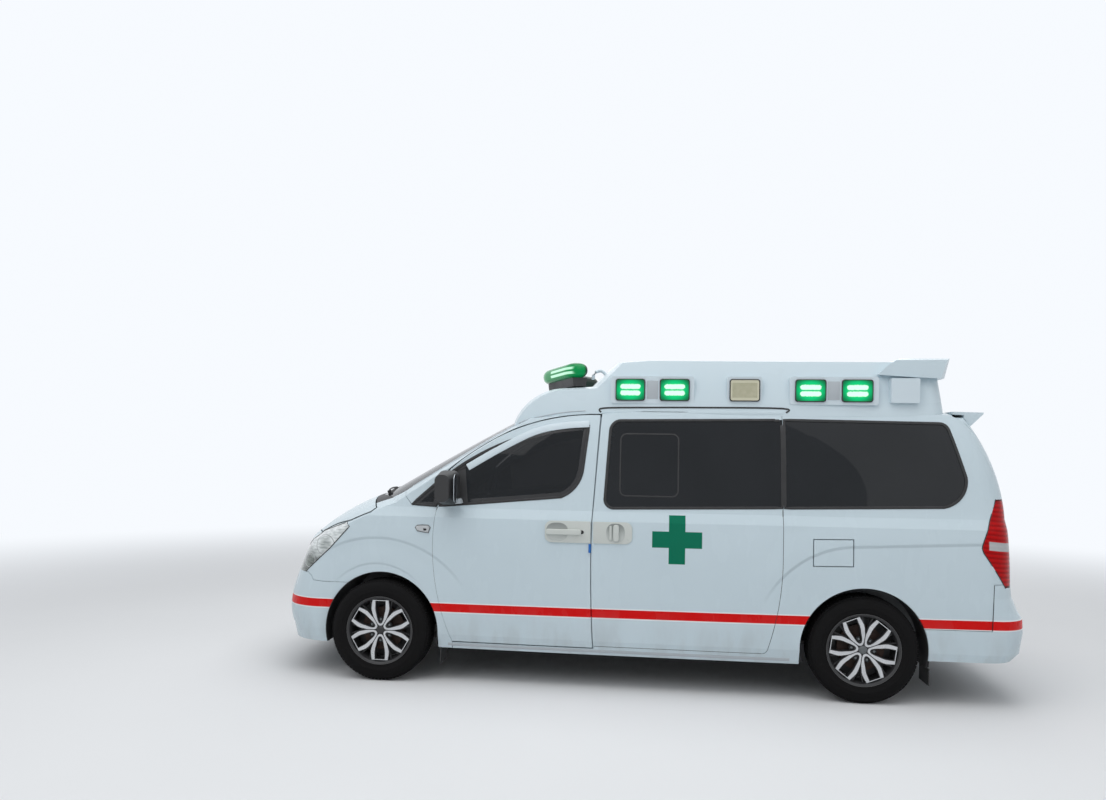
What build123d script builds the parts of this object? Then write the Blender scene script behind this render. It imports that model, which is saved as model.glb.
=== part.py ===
from build123d import *
import os

os.makedirs("parts", exist_ok=True)

# High-roof ambulance van. Millimetres, +X to the rear, +Y to the right side, +Z up.
# The origin is on the ground under the middle of the vehicle.

# Driving sizes
length = 5150.0
width = 1920.0
wheelbase = 3200.0
front_overhang = 870.0
front_track = 1685.0
rear_track = 1660.0
tyre_radius = 345.0
tyre_width = 215.0
rim_radius = 222.0
arch_radius = 400.0
sill_height = 235.0
door_bottom = 285.0
floor_height = 440.0
floor_thickness = 30.0
skin_depth = 28.0
wall_depth = 58.0
glass_inset = 2.0
glass_thickness = 5.0
window_flange = 32.0
moving_gap = 8.0
seam_gap = 3.5
lining_step = 30.0
flange_gap = 14.0
cab_half = 855.0
floor_half = 870.0
cap_wall = 24.0
king_pin_y = 800.0
spindle_radius = 24.0
fit_gap = 0.4

half = width / 2
front_tip = -length / 2
rear_tip = length / 2
front_axle = front_tip + front_overhang
rear_axle = front_axle + wheelbase
reach = half + 90

# Body sections, from the sill up. Columns: height, side in from the half width,
# nose back from the front tip, nose sag, nose corner in, nose corner radius,
# tail forward of the rear tip, tail sag, tail corner in, tail corner radius.
body_sections = [
    (sill_height, 55, 55, 160, 70, 330, 115, 60, 30, 200),
    (330, 28, 32, 178, 72, 340, 98, 65, 30, 205),
    (560, 12, 16, 195, 72, 345, 90, 70, 30, 205),
    (700, 6, 62, 195, 72, 340, 92, 72, 30, 200),
    (940, 0, 168, 190, 66, 330, 98, 75, 35, 190),
    (1130, 8, 325, 200, 50, 310, 112, 75, 38, 180),
    (1195, 36, 390, 150, 45, 300, 120, 75, 40, 170),
    (1500, 80, 390, 150, 45, 250, 178, 70, 40, 150),
    (1780, 138, 390, 150, 45, 200, 310, 60, 45, 130),
    (1880, 175, 390, 150, 45, 200, 375, 55, 50, 120),
    (1930, 265, 390, 150, 45, 200, 430, 50, 50, 120),
]
# Runs of those sections: first, last, straight between sections or smooth
body_runs = [(0, 1, True), (1, 5, False), (5, 6, True), (6, 9, False), (9, 10, True)]

# The rear bumper's own tail, with the body's sides. Columns as above.
bumper_sections = [
    (290, 40, 55, 160, 70, 330, 70, 68, 30, 200),
    (340, 27, 28, 178, 72, 340, 22, 74, 30, 205),
    (470, 17, 20, 190, 72, 340, 0, 80, 30, 210),
    (560, 12, 12, 195, 72, 345, 6, 80, 30, 210),
    (610, 10, 30, 195, 72, 345, 40, 78, 30, 205),
    (700, 6, 62, 195, 72, 340, 82, 74, 30, 200),
    (790, 3, 100, 195, 72, 340, 94, 73, 30, 200),
]

# Side-view line of the nose, bonnet, windscreen and roof. Columns: place,
# then X and Z on the centre line, at the shoulder and past the body's edge.
shoulder = 600.0
edge = half + 40
top_lines = {
    "nose": [(-2660, 640), (-2600, 630), (-2380, 570)],
    "bonnet_front": [(-2455, 893), (-2395, 885), (-2170, 825)],
    "bonnet_mid": [(-2205, 1112), (-2140, 1085), (-1930, 1010)],
    "cowl": [(-1865, 1272), (-1755, 1258), (-1555, 1192)],
    "screen_mid": [(-1352, 1570), (-1255, 1556), (-1085, 1502)],
    "screen_top": [(-830, 1850), (-755, 1835), (-625, 1780)],
    "roof_mid": [(200, 1928), (200, 1908), (200, 1790)],
    "roof_end": [(rear_tip + 125, 1850), (rear_tip + 125, 1830), (rear_tip + 125, 1735)],
}

# High roof. Its sections have the body's columns.
cap_sections = [
    (1740, 150, 1560, 110, 45, 260, 492, 38, 45, 120),
    (1880, 172, 1560, 110, 45, 260, 500, 38, 45, 120),
    (2090, 222, 1560, 110, 45, 250, 520, 38, 45, 115),
    (2290, 300, 1560, 110, 45, 240, 540, 38, 45, 110),
]
# Side-view line of the high roof at the shoulder: X from the front axle, Z
cap_foot = (850, 1760)
cap_brow = (985, 1955)
cap_shelf_front = (1200, 2038)
cap_shelf_rear = (1430, 2050)
cap_rise = (1610, 2222)
cap_crest = (1800, 2236)
cap_rear = (3860, 2225)
cap_crown = 22.0
cap_low = 1560.0
cap_edge_drop = 95.0


def section(row, inset):
    height, side_in, nose, nose_sag, nose_in, nose_r, tail, tail_sag, tail_in, tail_r = row
    side = half - side_in - inset
    nose_x = front_tip + nose + inset
    tail_x = rear_tip - tail - inset
    nose_corner = (nose_x + nose_sag, side - nose_in)
    tail_corner = (tail_x - tail_sag, side - tail_in)
    middle = (nose_corner[0] + tail_corner[0]) / 2
    with BuildSketch(Plane.XY.offset(height)) as outline:
        with BuildLine():
            ThreePointArc((nose_corner[0], -nose_corner[1]), (nose_x, 0), nose_corner)
            ThreePointArc(nose_corner, (middle, side), tail_corner)
            ThreePointArc(tail_corner, (tail_x, 0), (tail_corner[0], -tail_corner[1]))
            ThreePointArc((tail_corner[0], -tail_corner[1]), (middle, -side), (nose_corner[0], -nose_corner[1]))
        make_face()
        ends = outline.vertices().group_by(Axis.X)
        fillet(ends[0], nose_r - inset)
        fillet(outline.vertices().group_by(Axis.X)[-1], tail_r - inset)
    return outline.sketch


def stacked(rows, runs, inset):
    with BuildPart() as stack:
        for first, last, straight in runs:
            loft([section(row, inset) for row in rows[first:last + 1]], ruled=straight)
        if inset > 0:
            extrude(section(rows[0], inset), amount=-60)
    return stack.part


def top_profile(column, y, inset):
    shift = (0.5 * inset, -0.9 * inset)
    at = {name: (spots[column][0] + shift[0], spots[column][1] + shift[1]) for name, spots in top_lines.items()}
    low = sill_height - 120
    with BuildSketch(Plane.XZ.offset(-y)) as profile:
        with BuildLine():
            Polyline((front_tip - 185, low), at["nose"], at["bonnet_front"])
            ThreePointArc(at["bonnet_front"], at["bonnet_mid"], at["cowl"])
            ThreePointArc(at["cowl"], at["screen_mid"], at["screen_top"])
            ThreePointArc(at["screen_top"], at["roof_mid"], at["roof_end"])
            Polyline(at["roof_end"], (at["roof_end"][0], low), (front_tip - 185, low))
        make_face()
    return profile.sketch


def body_form(inset):
    with BuildPart() as form:
        loft([top_profile(c, y, inset) for c, y in ((2, -edge), (1, -shoulder), (0, 0), (1, shoulder), (2, edge))])
        add(stacked(body_sections, body_runs, inset), mode=Mode.INTERSECT)
    return form.part


def cap_profile(y, forward, lift, inset):
    def at(spot):
        return (front_axle + spot[0] - forward + inset, spot[1] + lift - inset)

    rear = (front_axle + cap_rear[0], cap_rear[1] + lift - inset)

    with BuildSketch(Plane.XZ.offset(-y)) as profile:
        with BuildLine():
            ThreePointArc(at(cap_foot), at(cap_brow), at(cap_shelf_front))
            Polyline(at(cap_shelf_front), at(cap_shelf_rear), at(cap_rise), at(cap_crest), rear)
            Polyline(rear, (rear[0], cap_low), (at(cap_foot)[0], cap_low), at(cap_foot))
        make_face()
    return profile.sketch


def cap_form(inset):
    with BuildPart() as form:
        loft([
            cap_profile(-edge, -60, -cap_edge_drop, inset),
            cap_profile(-shoulder, 0, 0, inset),
            cap_profile(0, 70, cap_crown, inset),
            cap_profile(shoulder, 0, 0, inset),
            cap_profile(edge, -60, -cap_edge_drop, inset),
        ])
        add(stacked(cap_sections, [(0, 3, False)], inset), mode=Mode.INTERSECT)
    return form.part


# Outlines in side view: X from the front axle, Z
def spot(x, z):
    return (front_axle + x, z)


def outline(draw, grow=0.0):
    with BuildSketch() as shape:
        with BuildLine():
            draw()
        make_face()
        if grow:
            offset(amount=grow, kind=Kind.INTERSECTION)
    return shape.sketch


def front_door_line():
    ThreePointArc(spot(500, door_bottom), spot(362, 900), spot(384, 1200))
    Line(spot(384, 1200), spot(447, 1441))
    ThreePointArc(spot(447, 1441), spot(900, 1735), spot(1485, 1842))
    Line(spot(1485, 1842), spot(1445, 1150))
    ThreePointArc(spot(1445, 1150), spot(1442, 800), spot(1460, door_bottom))
    Line(spot(1460, door_bottom), spot(500, door_bottom))


def front_window_line():
    Line(spot(398, 1206), spot(1234, 1284))
    ThreePointArc(spot(1234, 1284), spot(1340, 1370), spot(1378, 1480))
    Line(spot(1378, 1480), spot(1410, 1768))
    ThreePointArc(spot(1410, 1768), spot(905, 1672), spot(461, 1430))
    Line(spot(461, 1430), spot(398, 1206))


def sail_line():
    Polyline(spot(380, 1190), spot(600, 1190), spot(560, 1540), spot(440, 1540), spot(380, 1190))


def sliding_door_line():
    Line(spot(1498, 1866), spot(1451, 1150))
    ThreePointArc(spot(1451, 1150), spot(1448, 800), spot(1466, 297))
    Line(spot(1466, 297), spot(2560, 297))
    ThreePointArc(spot(2560, 297), spot(2588, 308), spot(2600, 335))
    ThreePointArc(spot(2600, 335), spot(2672, 680), spot(2684, 930))
    Line(spot(2684, 930), spot(2687, 1866))
    Line(spot(2687, 1866), spot(1498, 1866))


def sliding_window_line():
    ThreePointArc(spot(1556, 1740), spot(1577, 1785), spot(1620, 1806))
    Line(spot(1620, 1806), spot(2690, 1820))
    Line(spot(2690, 1820), spot(2690, 1243))
    Line(spot(2690, 1243), spot(1586, 1218))
    ThreePointArc(spot(1586, 1218), spot(1543, 1238), spot(1530, 1290))
    Line(spot(1530, 1290), spot(1556, 1740))


def rear_window_line():
    Line(spot(2700, 1820), spot(3690, 1808))
    ThreePointArc(spot(3690, 1808), spot(3725, 1795), spot(3745, 1762))
    Line(spot(3745, 1762), spot(3832, 1460))
    ThreePointArc(spot(3832, 1460), spot(3805, 1345), spot(3690, 1268))
    Line(spot(3690, 1268), spot(2700, 1243))
    Line(spot(2700, 1243), spot(2700, 1820))


def quarter_window_line():
    Polyline(spot(205, 1215), spot(372, 1206), spot(432, 1420), spot(205, 1215))


def fuel_flap_line():
    Polyline(spot(2878, 880), spot(3121, 884), spot(3121, 1050), spot(2878, 1046), spot(2878, 880))


def body_side_line():
    Polyline(spot(500, 120), spot(500, door_bottom))
    ThreePointArc(spot(500, door_bottom), spot(362, 900), spot(384, 1200))
    Polyline(spot(384, 1200), spot(205, 1208), spot(128, 1300), spot(-250, 1600), spot(300, 2100),
             spot(4700, 2100), spot(4700, 790), spot(3985, 790), spot(3980, 495), spot(3300, 495),
             spot(3300, 120), spot(500, 120))


def fender_line():
    Polyline(spot(500, 120), spot(0, 120), spot(0, 661), spot(-437, 661), spot(-509, 666), spot(-529, 697),
             spot(-560, 716), spot(-1100, 716), spot(-1100, 1600), spot(-250, 1600), spot(128, 1300),
             spot(205, 1208), spot(384, 1200))
    ThreePointArc(spot(384, 1200), spot(362, 900), spot(500, door_bottom))
    Line(spot(500, door_bottom), spot(500, 120))


def bumper_line():
    Polyline(spot(-1100, 120), spot(-1100, 716), spot(-560, 716), spot(-529, 697), spot(-509, 666),
             spot(-437, 661), spot(0, 661), spot(0, 120), spot(-1100, 120))


def rear_bumper_line():
    Polyline(spot(3300, 120), spot(3300, 495), spot(3980, 495), spot(3985, 790), spot(4700, 790),
             spot(4700, 120), spot(3300, 120))


def headlamp_line():
    Polyline(spot(-1000, 715), spot(-585, 715))
    ThreePointArc(spot(-585, 715), spot(-381, 894), spot(-236, 1050))
    Polyline(spot(-236, 1050), spot(-268, 1076))
    ThreePointArc(spot(-268, 1076), spot(-469, 1005), spot(-700, 830))
    Polyline(spot(-700, 830), spot(-1000, 790), spot(-1000, 715))


def tail_lamp_line():
    Polyline(spot(4012, 1324), spot(3914, 1048))
    ThreePointArc(spot(3914, 1048), spot(3907, 1020), spot(3916, 990))
    Polyline(spot(3916, 990), spot(4064, 766), spot(4500, 766), spot(4500, 1324), spot(4012, 1324))


# Bonnet outline seen from above: X from the front axle, Y
def bonnet_line():
    for side in (-1, 1):
        Polyline(spot(-62, side * 866), spot(-90, side * 896), spot(-236, side * 876), spot(-268, side * 860),
                 spot(-370, side * 795), spot(-490, side * 745))
    ThreePointArc(spot(-490, -745), spot(-690, 0), spot(-490, 745))
    ThreePointArc(spot(-62, -866), spot(-238, 0), spot(-62, 866))


def side_block(shape, inner=420.0):
    with BuildPart() as block:
        with BuildSketch(Plane.XZ.offset(inner)):
            add(shape)
        extrude(amount=reach - inner)
    return block.part


def across_block(shape):
    with BuildPart() as block:
        with BuildSketch(Plane.XZ):
            add(shape)
        extrude(amount=reach, both=True)
    return block.part


def tall_block(shape, low, high):
    with BuildPart() as block:
        with BuildSketch(Plane.XY.offset(low)):
            add(shape)
        extrude(amount=high - low)
    return block.part


def end_block(shape, start, finish):
    with BuildPart() as block:
        with BuildSketch(Plane.YZ.offset(start)):
            add(shape)
        extrude(amount=finish - start)
    return block.part


def arch_block(axle, inner):
    with BuildPart() as block:
        with BuildSketch(Plane.XZ.offset(inner)):
            with Locations((axle, tyre_radius)):
                Circle(arch_radius)
            with Locations((axle, tyre_radius - arch_radius)):
                Rectangle(2 * arch_radius, 2 * arch_radius)
        extrude(amount=reach - inner)
    return block.part


def plate(across, tall, corner):
    with BuildSketch() as shape:
        Rectangle(across, tall)
        chamfer(shape.vertices(), corner)
    return shape.sketch


def wide(low, high, low_half, high_half, radius):
    with BuildSketch() as shape:
        with BuildLine():
            Polyline((-low_half, low), (low_half, low), (high_half, high), (-high_half, high), close=True)
        make_face()
        fillet(shape.vertices(), radius)
    return shape.sketch


outer = body_form(0)
glass_out = body_form(glass_inset)
glass_in = body_form(glass_inset + glass_thickness)
mid = body_form(skin_depth)
inner = body_form(wall_depth)

with BuildPart() as shell:
    add(outer)
    add(inner, mode=Mode.SUBTRACT)

with BuildPart() as pane_band:
    add(glass_out)
    add(glass_in, mode=Mode.SUBTRACT)

with BuildPart() as left_half:
    with Locations((0, -reach / 2, 1200)):
        Box(length + 400, reach, 2600)

with BuildPart() as left_shell:
    add(shell.part)
    add(left_half.part, mode=Mode.INTERSECT)

with BuildPart() as left_pane_band:
    add(pane_band.part)
    add(left_half.part, mode=Mode.INTERSECT)

with BuildPart() as bumper_form:
    loft([section(row, 0) for row in bumper_sections], ruled=True)

# Bonnet, tailgate and fuel flap hinges: X and Z of the pins, places across the body
bonnet_pin = (front_axle - 10, 1160.0)
bonnet_arm_y = 815.0
hinge_pin_radius = 8.0
hinge_boss_radius = 14.0
tailgate_ear_y = 450.0
ear_thickness = 30.0
hub_length = 20.0
ear_gap = 5.0
flap_pin_x = front_axle + 2890
flap_pin_radius = 1.6
flap_gap = 6.0

# Openings cut through the body
screen_outline = wide(1252, 1822, 800, 668, 55)
tailgate_low = 640.0
tailgate_high = 1852.0
tailgate_hinge = (rear_tip - 418, 1858)
tailgate_outline = wide(tailgate_low, tailgate_high, 712, 742, 60)
tailgate_glass_outline = wide(1225, 1800, 690, 700, 70)

with BuildPart() as rear_opening:
    with BuildSketch(Plane.YZ.offset(rear_axle + 500)):
        add(tailgate_outline)
        offset(amount=moving_gap, kind=Kind.INTERSECTION)
    extrude(amount=rear_tip - rear_axle - 300)
    with BuildSketch(Plane.XZ.offset(-(742 + moving_gap))):
        with Locations(tailgate_hinge):
            Circle(84)
    extrude(amount=2 * (742 + moving_gap))

with BuildPart() as roof_opening:
    with Locations((front_axle + 2390, 0, 1860)):
        Box(2560, 1290, 300)

headlamp_block = side_block(outline(headlamp_line), 480)
tail_lamp_block = side_block(outline(tail_lamp_line), 720)
bonnet_shape = outline(bonnet_line)

with BuildPart() as bonnet_opening:
    with BuildSketch(Plane.XY.offset(860)):
        add(bonnet_shape)
        offset(amount=moving_gap, kind=Kind.INTERSECTION)
    extrude(amount=500)


def panel(line, extra=()):
    # A door as thick as the wall, whose outer skin runs out past its inner frame
    with BuildPart() as step:
        add(side_block(outline(line, 5)))
        add(side_block(outline(line, -lining_step)), mode=Mode.SUBTRACT)
        add(glass_in, mode=Mode.INTERSECT)
    with BuildPart() as piece:
        add(left_shell.part)
        add(side_block(outline(line, 0)), mode=Mode.INTERSECT)
        add(step.part, mode=Mode.SUBTRACT)
        for cut in extra:
            add(cut, mode=Mode.SUBTRACT)
    return piece.part


def window_cuts(line, flange=window_flange):
    with BuildPart() as recess:
        add(side_block(outline(line, fit_gap)))
        add(glass_in, mode=Mode.SUBTRACT)
    return [recess.part, side_block(outline(line, -flange))]


def pane(line):
    with BuildPart() as glass:
        add(left_pane_band.part)
        add(side_block(outline(line)), mode=Mode.INTERSECT)
    return glass.part


def mirrored(part):
    with BuildPart() as other:
        mirror(part, about=Plane.XZ)
    return other.part


def both_sides(part):
    with BuildPart() as pair:
        add(part)
        mirror(part, about=Plane.XZ)
    return pair.part


pieces = {}


def keep(name, part):
    part.label = name
    export_step(part, f"parts/{name}.step")
    pieces[name] = part


# Front doors with their glass
front_door = panel(front_door_line, window_cuts(front_window_line))
keep("front_door_left", front_door)
keep("front_door_right", mirrored(front_door))

door_glass = pane(front_window_line)
sail_block = side_block(outline(sail_line))
with BuildPart() as door_pane:
    add(door_glass)
    add(sail_block, mode=Mode.SUBTRACT)
keep("door_glass_left", door_pane.part)
keep("door_glass_right", mirrored(door_pane.part))

# Door mirrors: a sail plate in the window's front corner, an arm and the housing
with BuildPart() as mirror_left:
    add(door_glass)
    add(sail_block, mode=Mode.INTERSECT)
    with Locations((front_axle + 470, -930, 1275)):
        Box(70, 110, 50)
    add(glass_in, mode=Mode.SUBTRACT)
    with BuildSketch(Plane.XZ.offset(965)):
        with Locations(spot(478, 1335)):
            RectangleRounded(150, 232, 45)
    with BuildSketch(Plane.XZ.offset(1120)):
        with Locations(spot(468, 1335)):
            RectangleRounded(96, 180, 40)
    loft()
keep("mirror_left", mirror_left.part)
keep("mirror_right", mirrored(mirror_left.part))

# Sliding doors and their glass
sliding_door = panel(sliding_door_line, window_cuts(sliding_window_line))
keep("sliding_door_left", sliding_door)
keep("sliding_door_right", mirrored(sliding_door))
sliding_pane = pane(sliding_window_line)
with BuildPart() as sliding_glass:
    add(sliding_pane)
    add(side_block(outline(sliding_door_line, -1)), mode=Mode.INTERSECT)
keep("sliding_door_glass", both_sides(sliding_glass.part))

# Body sides: pillars, rails, sills and rear quarters
with BuildPart() as door_recesses:
    add(side_block(outline(front_door_line, moving_gap)))
    add(side_block(outline(sliding_door_line, seam_gap)))
    add(mid, mode=Mode.SUBTRACT)

with BuildPart() as hinge_side_opening:
    add(side_block(outline(front_door_line, moving_gap)))
    with Locations((front_axle + 600 + 1000, -reach / 2, 1000)):
        Box(2000, reach, 2400, mode=Mode.SUBTRACT)

with BuildPart() as flap_opening:
    add(side_block(outline(fuel_flap_line, flap_gap), half - 80))
    add(mid, mode=Mode.SUBTRACT)


def flap_pin(radius, more):
    # The fuel flap's pin ends lie in the skin above and below it, so the pin leans as the skin does
    foot = Vector(flap_pin_x, -951.3, 873)
    head = Vector(flap_pin_x, -945.7, 1053)
    along = (head - foot).normalized()
    with BuildPart() as stubs:
        for end, way in ((foot, -1), (head, 1)):
            with BuildSketch(Plane(origin=end - along * way * (9 + flap_gap), z_dir=along * way)):
                Circle(radius)
            extrude(amount=15 + flap_gap + more)
    return stubs.part


with BuildPart() as body_side:
    add(left_shell.part)
    add(side_block(outline(body_side_line, -seam_gap / 2), 0), mode=Mode.INTERSECT)
    add(door_recesses.part, mode=Mode.SUBTRACT)
    add(side_block(outline(front_door_line, -(lining_step - flange_gap))), mode=Mode.SUBTRACT)
    add(side_block(outline(sliding_door_line, -(lining_step - seam_gap))), mode=Mode.SUBTRACT)
    add(hinge_side_opening.part, mode=Mode.SUBTRACT)
    for line in (rear_window_line, quarter_window_line):
        for cut in window_cuts(line, 24):
            add(cut, mode=Mode.SUBTRACT)
    add(end_block(screen_outline, front_tip, front_axle + 1400), mode=Mode.SUBTRACT)
    add(rear_opening.part, mode=Mode.SUBTRACT)
    add(roof_opening.part, mode=Mode.SUBTRACT)
    add(bonnet_opening.part, mode=Mode.SUBTRACT)
    add(arch_block(rear_axle, 400), mode=Mode.SUBTRACT)
    add(tail_lamp_block, mode=Mode.SUBTRACT)
    # Hinge ear of the tailgate with its pin
    hinge_x, hinge_z = tailgate_hinge
    with BuildSketch(Plane.XZ.offset(tailgate_ear_y)):
        with BuildLine():
            Polyline((hinge_x - 120, hinge_z + 8), (hinge_x - 60, hinge_z - 6), (hinge_x, hinge_z - hinge_boss_radius),
                     (hinge_x, hinge_z + hinge_boss_radius), (hinge_x - 60, hinge_z + 16), (hinge_x - 120, hinge_z + 20), close=True)
        make_face()
        with Locations(tailgate_hinge):
            Circle(hinge_boss_radius)
    extrude(amount=ear_thickness / 2, both=True)
    with BuildSketch(Plane.XZ.offset(tailgate_ear_y)):
        with Locations(tailgate_hinge):
            Circle(hinge_pin_radius)
    extrude(amount=ear_thickness / 2 + ear_gap + hub_length, both=True)

with BuildPart() as flap_side:
    add(body_side.part)
    add(flap_opening.part, mode=Mode.SUBTRACT)
    add(flap_pin(flap_pin_radius + fit_gap, 4), mode=Mode.SUBTRACT)
keep("body_side_left", flap_side.part)
keep("body_side_right", mirrored(body_side.part))

# Fixed side glass: front quarter panes and rear quarter panes
with BuildPart() as side_panes:
    for line in (rear_window_line, quarter_window_line):
        add(pane(line))
keep("fixed_side_glass", both_sides(side_panes.part))

# Windscreen
with BuildPart() as windscreen:
    add(pane_band.part)
    with BuildSketch(Plane.YZ.offset(front_tip)) as screen_edge:
        add(screen_outline)
        offset(amount=-fit_gap)
    extrude(amount=front_axle + 1400 - front_tip, mode=Mode.INTERSECT)
    add(bonnet_opening.part, mode=Mode.SUBTRACT)
keep("windscreen", windscreen.part)

# Front skins: fenders, bumper, grille and headlamps
grille_outline = wide(752, 892, 395, 330, 25)
intake_outline = wide(335, 455, 470, 430, 30)
grille_block = end_block(grille_outline, front_tip - 100, front_axle - 450)
intake_block = end_block(intake_outline, front_tip - 100, front_axle - 450)
lamp_inner = 480.0
nose_half = 748.0
cowl_half = 750.0

with BuildPart() as nose_panel:
    with Locations((front_axle - 800, 0, 900)):
        Box(700, 2 * nose_half, 400)

with BuildPart() as skin:
    add(outer)
    add(mid, mode=Mode.SUBTRACT)

with BuildPart() as left_skin:
    add(skin.part)
    add(left_half.part, mode=Mode.INTERSECT)

with BuildPart() as fender:
    add(left_skin.part)
    add(side_block(outline(fender_line, -seam_gap / 2), 0), mode=Mode.INTERSECT)
    add(nose_panel.part, mode=Mode.SUBTRACT)
    add(bonnet_opening.part, mode=Mode.SUBTRACT)
    add(headlamp_block, mode=Mode.SUBTRACT)
    add(arch_block(front_axle, 400), mode=Mode.SUBTRACT)
    add(end_block(screen_outline, front_tip, front_axle + 1400), mode=Mode.SUBTRACT)
    with Locations((front_axle - 100, 0, 1300)):
        Box(1200, 2 * cowl_half + seam_gap, 500, mode=Mode.SUBTRACT)
    # Pin that carries the bonnet's hinge arm
    with BuildSketch(Plane.XZ.offset(bonnet_arm_y - 15)):
        with Locations(bonnet_pin):
            Circle(hinge_pin_radius)
    extrude(amount=75)
fender_skin = fender.solids().sort_by(SortBy.VOLUME)[-1]
keep("fender_left", fender_skin)
keep("fender_right", mirrored(fender_skin))

with BuildPart() as front_bumper:
    add(across_block(outline(bumper_line, -seam_gap / 2)))
    add(nose_panel.part)
    add(skin.part, mode=Mode.INTERSECT)
    for cut in (bonnet_opening.part, grille_block, intake_block):
        add(cut, mode=Mode.SUBTRACT)
    for cut in (headlamp_block, arch_block(front_axle, 400)):
        add(cut, mode=Mode.SUBTRACT)
        mirror(cut, about=Plane.XZ, mode=Mode.SUBTRACT)
keep("front_bumper", front_bumper.part)

slat_pitch = 34.0
with BuildPart() as grille:
    add(glass_in)
    add(mid, mode=Mode.SUBTRACT)
    with BuildSketch(Plane.YZ.offset(front_tip - 100)):
        add(grille_outline)
        add(intake_outline)
        offset(amount=-fit_gap)
    extrude(amount=front_axle - 350 - front_tip, mode=Mode.INTERSECT)
    with BuildSketch(Plane.YZ.offset(front_tip - 100)):
        for base, count, span in ((782, 3, 640), (365, 2, 800)):
            for row in range(count):
                with Locations((0, base + 8 + row * slat_pitch)):
                    Rectangle(span - 26 * row, 20)
    extrude(amount=front_axle - 350 - front_tip, mode=Mode.SUBTRACT)
keep("grille", grille.part)

with BuildPart() as headlamp:
    add(left_skin.part)
    add(side_block(outline(headlamp_line), lamp_inner + 1.5), mode=Mode.INTERSECT)
    add(bonnet_opening.part, mode=Mode.SUBTRACT)
keep("headlamps", both_sides(headlamp.part))

# Bonnet: a thin skin with its inner frame set in from the edge
with BuildPart() as bonnet:
    add(outer)
    add(glass_in, mode=Mode.SUBTRACT)
    add(tall_block(bonnet_shape, 860, 1500), mode=Mode.INTERSECT)
    with BuildPart(mode=Mode.PRIVATE) as bonnet_frame:
        add(skin.part)
        with BuildSketch(Plane.XY.offset(860)):
            add(bonnet_shape)
            offset(amount=-60, kind=Kind.INTERSECTION)
        extrude(amount=640, mode=Mode.INTERSECT)
    add(bonnet_frame.part)
    # Gooseneck hinge arms on the fenders' pins
    pin_x, pin_z = bonnet_pin
    for side in (-1, 1):
        with BuildSketch(Plane.XZ.offset(-side * bonnet_arm_y)):
            with BuildLine():
                Polyline((pin_x - 13, pin_z - 4), (pin_x - 20, pin_z - 40), (pin_x - 34, pin_z - 62), (pin_x - 50, pin_z - 62),
                         (pin_x - 72, pin_z - 44), (pin_x - 92, pin_z - 30), (pin_x - 92, pin_z + 12), (pin_x - 130, pin_z - 1),
                         (pin_x - 122, pin_z - 56), (pin_x - 80, pin_z - 66), (pin_x - 52, pin_z - 86), (pin_x - 28, pin_z - 86),
                         (pin_x, pin_z - 44), (pin_x + 13, pin_z - 5), close=True)
            make_face()
            with Locations(bonnet_pin):
                Circle(hinge_boss_radius)
                Circle(hinge_pin_radius + fit_gap, mode=Mode.SUBTRACT)
        extrude(amount=8, both=True)
keep("bonnet", bonnet.part)

# Rear bumper and tail lamps
with BuildPart() as rear_bumper:
    add(bumper_form.part)
    add(across_block(outline(rear_bumper_line, -seam_gap / 2)), mode=Mode.INTERSECT)
    add(mid, mode=Mode.SUBTRACT)
    add(rear_opening.part, mode=Mode.SUBTRACT)
    for cut in (arch_block(rear_axle, 400), tail_lamp_block):
        add(cut, mode=Mode.SUBTRACT)
        mirror(cut, about=Plane.XZ, mode=Mode.SUBTRACT)
keep("rear_bumper", rear_bumper.part)

with BuildPart() as tail_lamp:
    add(left_skin.part)
    add(side_block(outline(tail_lamp_line), 720), mode=Mode.INTERSECT)
    add(rear_opening.part, mode=Mode.SUBTRACT)
keep("tail_lamps", both_sides(tail_lamp.part))

# Tailgate with its glass and lip
gate_front = rear_axle + 500
with BuildPart() as tailgate:
    add(shell.part)
    add(end_block(tailgate_outline, gate_front, rear_tip + 100), mode=Mode.INTERSECT)
    with BuildPart(mode=Mode.PRIVATE) as gate_step:
        add(end_block(tailgate_outline, gate_front, rear_tip + 100))
        with BuildSketch(Plane.YZ.offset(gate_front)):
            add(tailgate_outline)
            offset(amount=-lining_step)
        extrude(amount=rear_tip + 100 - gate_front, mode=Mode.SUBTRACT)
        add(mid, mode=Mode.INTERSECT)
    add(gate_step.part, mode=Mode.SUBTRACT)
    with BuildPart(mode=Mode.PRIVATE) as gate_recess:
        with BuildSketch(Plane.YZ.offset(gate_front)):
            add(tailgate_glass_outline)
            offset(amount=fit_gap)
        extrude(amount=rear_tip + 100 - gate_front)
        add(glass_in, mode=Mode.SUBTRACT)
    add(gate_recess.part, mode=Mode.SUBTRACT)
    with BuildSketch(Plane.YZ.offset(gate_front)):
        add(tailgate_glass_outline)
        offset(amount=-50)
    extrude(amount=rear_tip + 100 - gate_front, mode=Mode.SUBTRACT)
    hinge_room = ear_thickness / 2 + 2 * ear_gap + hub_length
    for side in (-1, 1):
        with BuildSketch(Plane.XZ.offset(-side * tailgate_ear_y)):
            with Locations(tailgate_hinge):
                Circle(hinge_boss_radius + 2 * ear_gap)
        extrude(amount=hinge_room, both=True, mode=Mode.SUBTRACT)
keep("tailgate", tailgate.part)

with BuildPart() as tailgate_glass:
    add(pane_band.part)
    add(end_block(tailgate_glass_outline, gate_front, rear_tip + 100), mode=Mode.INTERSECT)
keep("tailgate_glass", tailgate_glass.part)

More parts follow.
